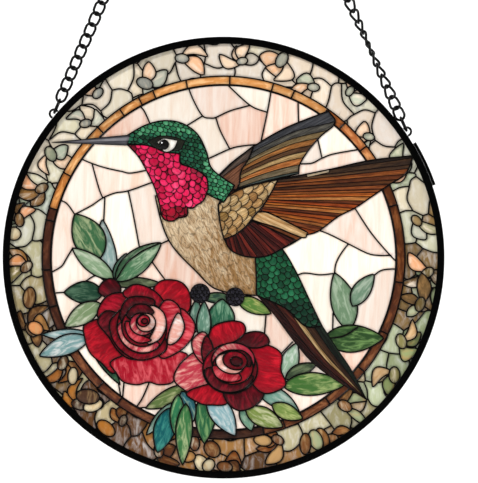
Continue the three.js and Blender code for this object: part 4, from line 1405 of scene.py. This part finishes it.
# Rim, sleeve, eyes, ring and chain

EYES = {"left": 139.7, "right": 34.5}
EYE_RADIUS = 1.9
EYE_WIRE = 1.1
EYE_STAND = 0.6
RING_WIRE = 1.8
CLEARANCE = 0.3
RIM_ROUNDING = 0.35
RIM_SEGMENTS = 240

# Each link of a leg is turned this many degrees from the one below it. The two end links lie across their
# eye and ring. LINK_BITE and LINK_GAP set how far two links reach into each other.
LINK_TURNS = {"left": 0, "right": 14}
END_LINK_TURN = 90
LINK_BITE = 0.12
LINK_GAP = 0.04


def lathe(name, section, centre, segments):
    """A ring turned about a Y axis from a closed section of radius and depth, in millimetres."""
    bm = bmesh.new()
    verts = [bm.verts.new(centre + Vector((radius, y, 0)) * MM) for radius, y in section]
    edges = [bm.edges.new((a, b)) for a, b in zip(verts, [*verts[1:], verts[0]])]
    bmesh.ops.spin(bm, geom=[*verts, *edges], cent=centre, axis=(0, 1, 0), angle=math.tau, steps=segments,
                   use_merge=True)
    for face in bm.faces:
        face.smooth = True
    return mesh_of(bm, name, 40)


def rounded(corners, radius, steps=3):
    """A closed section with its corners rounded."""
    points = []
    count = len(corners)
    for i, corner in enumerate(corners):
        here, before, after = Vector(corner), Vector(corners[i - 1]), Vector(corners[(i + 1) % count])
        start = here + (before - here).normalized() * radius
        end = here + (after - here).normalized() * radius
        for k in range(steps + 1):
            share = k / steps
            first = start * (1 - share) + here * share
            second = here * (1 - share) + end * share
            points.append(first * (1 - share) + second * share)
    return points


def make_rim(context):
    """The rim is a channel with a slot for the glass. The sleeve keeps its packed form."""
    paint = metal("black painted zinc", tuple(context.scene.suncatcher_colours.rim), roughness=0.3,
                  grain_mm=0.6, shine=0.03, strength=0.08)
    slot_half, seat = GLASS_HALF + CLEARANCE, GLASS_RADIUS + CLEARANCE
    section = rounded([
        (LIP_RADIUS, -RIM_HALF), (PANEL_RADIUS, -RIM_HALF), (PANEL_RADIUS, RIM_HALF), (LIP_RADIUS, RIM_HALF),
        (LIP_RADIUS, slot_half), (seat, slot_half), (seat, -slot_half), (LIP_RADIUS, -slot_half)],
        RIM_ROUNDING)
    link_object("rim", lathe("rim", section, PANEL, RIM_SEGMENTS), paint, ["rim_frame"])
    frame["nodes"]["rim_joint_sleeve"].data.materials.clear()
    frame["nodes"]["rim_joint_sleeve"].data.materials.append(paint)


def wire_mesh(name, paths, wire, closed):
    """Wires of one thickness, in millimetres, along paths in metres that all close, or all end."""
    return tube_mesh(name, [(path, closed) for path in paths], wire / 2 * MM, 3, capped=not closed)


def eye_centre(degrees):
    return Vector(polar(PANEL_RADIUS + CLEARANCE + EYE_STAND, degrees))


def black_plating(context):
    """The one finish of the ring, the eyes and the chain: black, with a narrow shine along each wire."""
    name = "black plated steel"
    made = bpy.data.materials.get(name)
    return made or metal(name, tuple(context.scene.suncatcher_colours.chain), roughness=0.25, grain_mm=0.3,
                         shine=0.15)


def make_hangers(context):
    plating = black_plating(context)
    ring_centre = Vector((0, 0, (ring_low.z + ring_high.z) / 2))
    middle = (RING_RADIUS - RING_WIRE / 2) * MM
    path = [ring_centre + Vector((math.cos(a), 0, math.sin(a))) * middle
            for a in (math.tau * i / 64 for i in range(64))]
    mesh = wire_mesh("hanging_ring", [path], RING_WIRE, True)
    link_object("hanging_ring", mesh, plating, ["top_ring"])
    for side, degrees in EYES.items():
        out = Vector(polar(1, degrees))
        centre = eye_centre(degrees)
        stops = [centre + Vector(polar(EYE_RADIUS, degrees - 90 + 7.5 * i)) for i in range(25)]
        stops = [stops[0] - out * EYE_STAND, *stops, stops[-1] - out * EYE_STAND]
        path = [place_in_panel(x, 0, z) for x, z in stops]
        mesh = wire_mesh(f"{side}_wire_eye", [path], EYE_WIRE, False)
        link_object(f"{side}_wire_eye", mesh, plating, [f"{side}_eye"])


def link_path(length, width, wire, twist):
    """The middle line of one link along Z, turned evenly from one end to the other."""
    bend = (width - wire) / 2
    straight = (length - wire) / 2 - bend
    path = []
    steps = 10
    for end in (1, -1):
        for i in range(steps + 1):
            angle = math.pi * i / steps
            x, z = bend * math.cos(angle), straight + bend * math.sin(angle)
            path.append(Vector((end * x, 0, end * z)))
    return [Matrix.Rotation(twist * point.z / length, 3, "Z") @ point for point in path]


def make_chain(context):
    sizes = context.scene.suncatcher_sizes
    plating = black_plating(context)
    length, width, wire = (size / MM for size in (sizes.link_length, sizes.link_width, sizes.link_wire))
    top = Vector((0, (ring_high.z + ring_low.z) / 2 / MM - PANEL.z / MM))
    for side, degrees in EYES.items():
        eye = eye_centre(degrees)
        down = (eye - top).normalized()
        start = top + down * (RING_RADIUS - RING_WIRE - CLEARANCE)
        end = eye - down * (EYE_RADIUS - EYE_WIRE / 2 - CLEARANCE)
        span = (end - start).length
        count = round(span / (length - 2 * wire + LINK_BITE))
        pitch = span / count
        slope = Matrix.Rotation(math.atan2(down.x, -down.y), 3, "Y").inverted()
        paths = []
        for i in range(count):
            last = i in (0, count - 1)
            turn = END_LINK_TURN if last else LINK_TURNS[side] * (count - 2 - i)
            twist = 0 if last else sizes.link_twist
            middle = start + down * (pitch * (i + 0.5))
            around = slope @ Matrix.Rotation(math.radians(turn), 3, "Z")
            paths.append([place_in_panel(middle.x, 0, middle.y) + around @ point * MM
                          for point in link_path(pitch + 2 * wire - LINK_GAP, width, wire, twist)])
        mesh = wire_mesh(f"{side}_chain", paths, wire, True)
        link_object(f"{side}_chain", mesh, plating, [f"chain_{side}"])


# Stage

VIEW_WIDTH = 478
VIEW_HEIGHT = 483
VIEW_CENTRE = (7.0, 7.3)
VIEW_SPAN = 216.8
CAMERA_DISTANCE = 1.2
SENSOR = 36


SWEEP_FRONT = -4.0
SWEEP_BACK = 1.6
SWEEP_BEND = 0.9
SWEEP_HEIGHT = 5
SWEEP_HALF_WIDTH = 6.0
FLOOR_DROP = 0.25

# Each sun's name, its offset from the middle of the view, its strength, and its softness in degrees.
SUNS = (("key", (-1.0, -0.95, 0.95), 2.55, 12), ("fill", (1.3, -0.9, 0.1), 0.95, 30))
WORLD_STRENGTH = 0.42


def paper(colour):
    """Matt paper with a faint tooth, in which floor and backdrop are one."""
    material, tree = new_material("pale paper sweep")
    place = add_node(tree, "ShaderNodeTexCoord").outputs["Object"]
    fibres = add_node(tree, "ShaderNodeTexNoise", {"Vector": place, "Scale": 900.0, "Detail": 2.0})
    bump = add_node(tree, "ShaderNodeBump", {
        "Height": fibres.outputs["Fac"], "Strength": 0.03, "Distance": 0.0002})
    shader = add_node(tree, "ShaderNodeBsdfPrincipled", {
        "Base Color": (*colour, 1), "Roughness": 0.9, "Normal": bump.outputs["Normal"]})
    finish_material(tree, shader)
    return material


def sweep_mesh():
    """A floor that curves up into a backdrop."""
    floor_z = cad_low.z - FLOOR_DROP
    profile = [(SWEEP_FRONT, floor_z), (SWEEP_BACK, floor_z)]
    for degrees in range(10, 91, 10):
        angle = math.radians(degrees)
        y, z = SWEEP_BEND * math.sin(angle), SWEEP_BEND * (1 - math.cos(angle))
        profile.append((SWEEP_BACK + y, floor_z + z))
    profile.append((SWEEP_BACK + SWEEP_BEND, floor_z + SWEEP_HEIGHT))
    bm = bmesh.new()
    verts = [bm.verts.new((-SWEEP_HALF_WIDTH, y, z)) for y, z in profile]
    edges = [bm.edges.new(pair) for pair in zip(verts, verts[1:])]
    made = bmesh.ops.extrude_edge_only(bm, edges=edges)
    moved = [item for item in made["geom"] if isinstance(item, bmesh.types.BMVert)]
    bmesh.ops.translate(bm, verts=moved, vec=(2 * SWEEP_HALF_WIDTH, 0, 0))
    for face in bm.faces:
        face.smooth = True
    return mesh_of(bm, "sweep", 180)


def make_stage(context):
    mesh = sweep_mesh()
    mesh.materials.append(paper(context.scene.suncatcher_colours.backdrop))
    floor = bpy.data.objects.new("sweep", mesh)
    context.scene.collection.objects.link(floor)

    target = place_in_panel(VIEW_CENTRE[0], 0, VIEW_CENTRE[1])
    for name, offset, strength, softness in SUNS:
        light = bpy.data.lights.new(name, "SUN")
        light.energy = strength
        light.angle = math.radians(softness)
        lamp = bpy.data.objects.new(name, light)
        lamp.location = target + Vector(offset)
        lamp.rotation_euler = (target - lamp.location).to_track_quat("-Z", "Y").to_euler()
        context.scene.collection.objects.link(lamp)
    world = bpy.data.worlds.new("studio")
    world.use_nodes = True
    world.node_tree.nodes["Background"].inputs["Color"].default_value = (1, 1, 1, 1)
    world.node_tree.nodes["Background"].inputs["Strength"].default_value = WORLD_STRENGTH
    context.scene.world = world
    context.scene.view_settings.view_transform = "Standard"

    camera = bpy.data.cameras.new("camera")
    camera.sensor_width = SENSOR
    camera.sensor_fit = "AUTO"
    span = VIEW_SPAN * max(1, VIEW_HEIGHT / VIEW_WIDTH)
    camera.lens = SENSOR * CAMERA_DISTANCE / (span * MM)
    eye = bpy.data.objects.new("camera", camera)
    eye.location = target + Vector((0, -CAMERA_DISTANCE, 0))
    eye.rotation_euler = (math.radians(90), 0, 0)
    context.scene.collection.objects.link(eye)
    context.scene.camera = eye


# Operators and panel

class SUNCATCHER_OT_make_glass(bpy.types.Operator):
    """Cut every piece of glass of the picture"""
    bl_idname = "suncatcher.make_glass"
    bl_label = "Make glass"

    def execute(self, context):
        make_glass(context)
        return {"FINISHED"}


class SUNCATCHER_OT_make_lead(bpy.types.Operator):
    """Run a bead of lead along every cut"""
    bl_idname = "suncatcher.make_lead"
    bl_label = "Make lead"

    def execute(self, context):
        make_lead(context)
        return {"FINISHED"}


class SUNCATCHER_OT_make_rim(bpy.types.Operator):
    """Turn the rim and paint its sleeve"""
    bl_idname = "suncatcher.make_rim"
    bl_label = "Make rim"

    def execute(self, context):
        make_rim(context)
        return {"FINISHED"}


class SUNCATCHER_OT_make_hangers(bpy.types.Operator):
    """Bend the hanging ring and the two wire eyes"""
    bl_idname = "suncatcher.make_hangers"
    bl_label = "Make ring and eyes"

    def execute(self, context):
        make_hangers(context)
        return {"FINISHED"}


class SUNCATCHER_OT_make_chain(bpy.types.Operator):
    """Twist the links of both legs of the chain"""
    bl_idname = "suncatcher.make_chain"
    bl_label = "Make chain"

    def execute(self, context):
        make_chain(context)
        return {"FINISHED"}


class SUNCATCHER_OT_make_stage(bpy.types.Operator):
    """Set up the backdrop, the lights and the camera"""
    bl_idname = "suncatcher.make_stage"
    bl_label = "Make stage"

    def execute(self, context):
        make_stage(context)
        return {"FINISHED"}


OPERATORS = (
    SUNCATCHER_OT_make_glass, SUNCATCHER_OT_make_lead, SUNCATCHER_OT_make_rim, SUNCATCHER_OT_make_hangers,
    SUNCATCHER_OT_make_chain, SUNCATCHER_OT_make_stage,
)


class SUNCATCHER_PT_panel(bpy.types.Panel):
    bl_idname = "SUNCATCHER_PT_panel"
    bl_label = "Suncatcher"
    bl_space_type = "VIEW_3D"
    bl_region_type = "UI"
    bl_category = "Suncatcher"

    def draw(self, context):
        for group in (context.scene.suncatcher_sizes, context.scene.suncatcher_colours):
            for name in group.bl_rna.properties.keys():
                if name not in ("rna_type", "name"):
                    self.layout.prop(group, name)
        for made in OPERATORS:
            self.layout.operator(made.bl_idname)


CLASSES = (SuncatcherSizes, SuncatcherColours, *OPERATORS, SUNCATCHER_PT_panel)


def register():
    for made in CLASSES:
        bpy.utils.register_class(made)
    bpy.types.Scene.suncatcher_sizes = bpy.props.PointerProperty(type=SuncatcherSizes)
    bpy.types.Scene.suncatcher_colours = bpy.props.PointerProperty(type=SuncatcherColours)


def unregister():
    del bpy.types.Scene.suncatcher_colours
    del bpy.types.Scene.suncatcher_sizes
    for made in reversed(CLASSES):
        bpy.utils.unregister_class(made)


def main():
    register()
    bpy.ops.suncatcher.make_glass()
    bpy.ops.suncatcher.make_lead()
    bpy.ops.suncatcher.make_rim()
    bpy.ops.suncatcher.make_hangers()
    bpy.ops.suncatcher.make_chain()
    bpy.ops.suncatcher.make_stage()


if __name__ == "__main__":
    main()
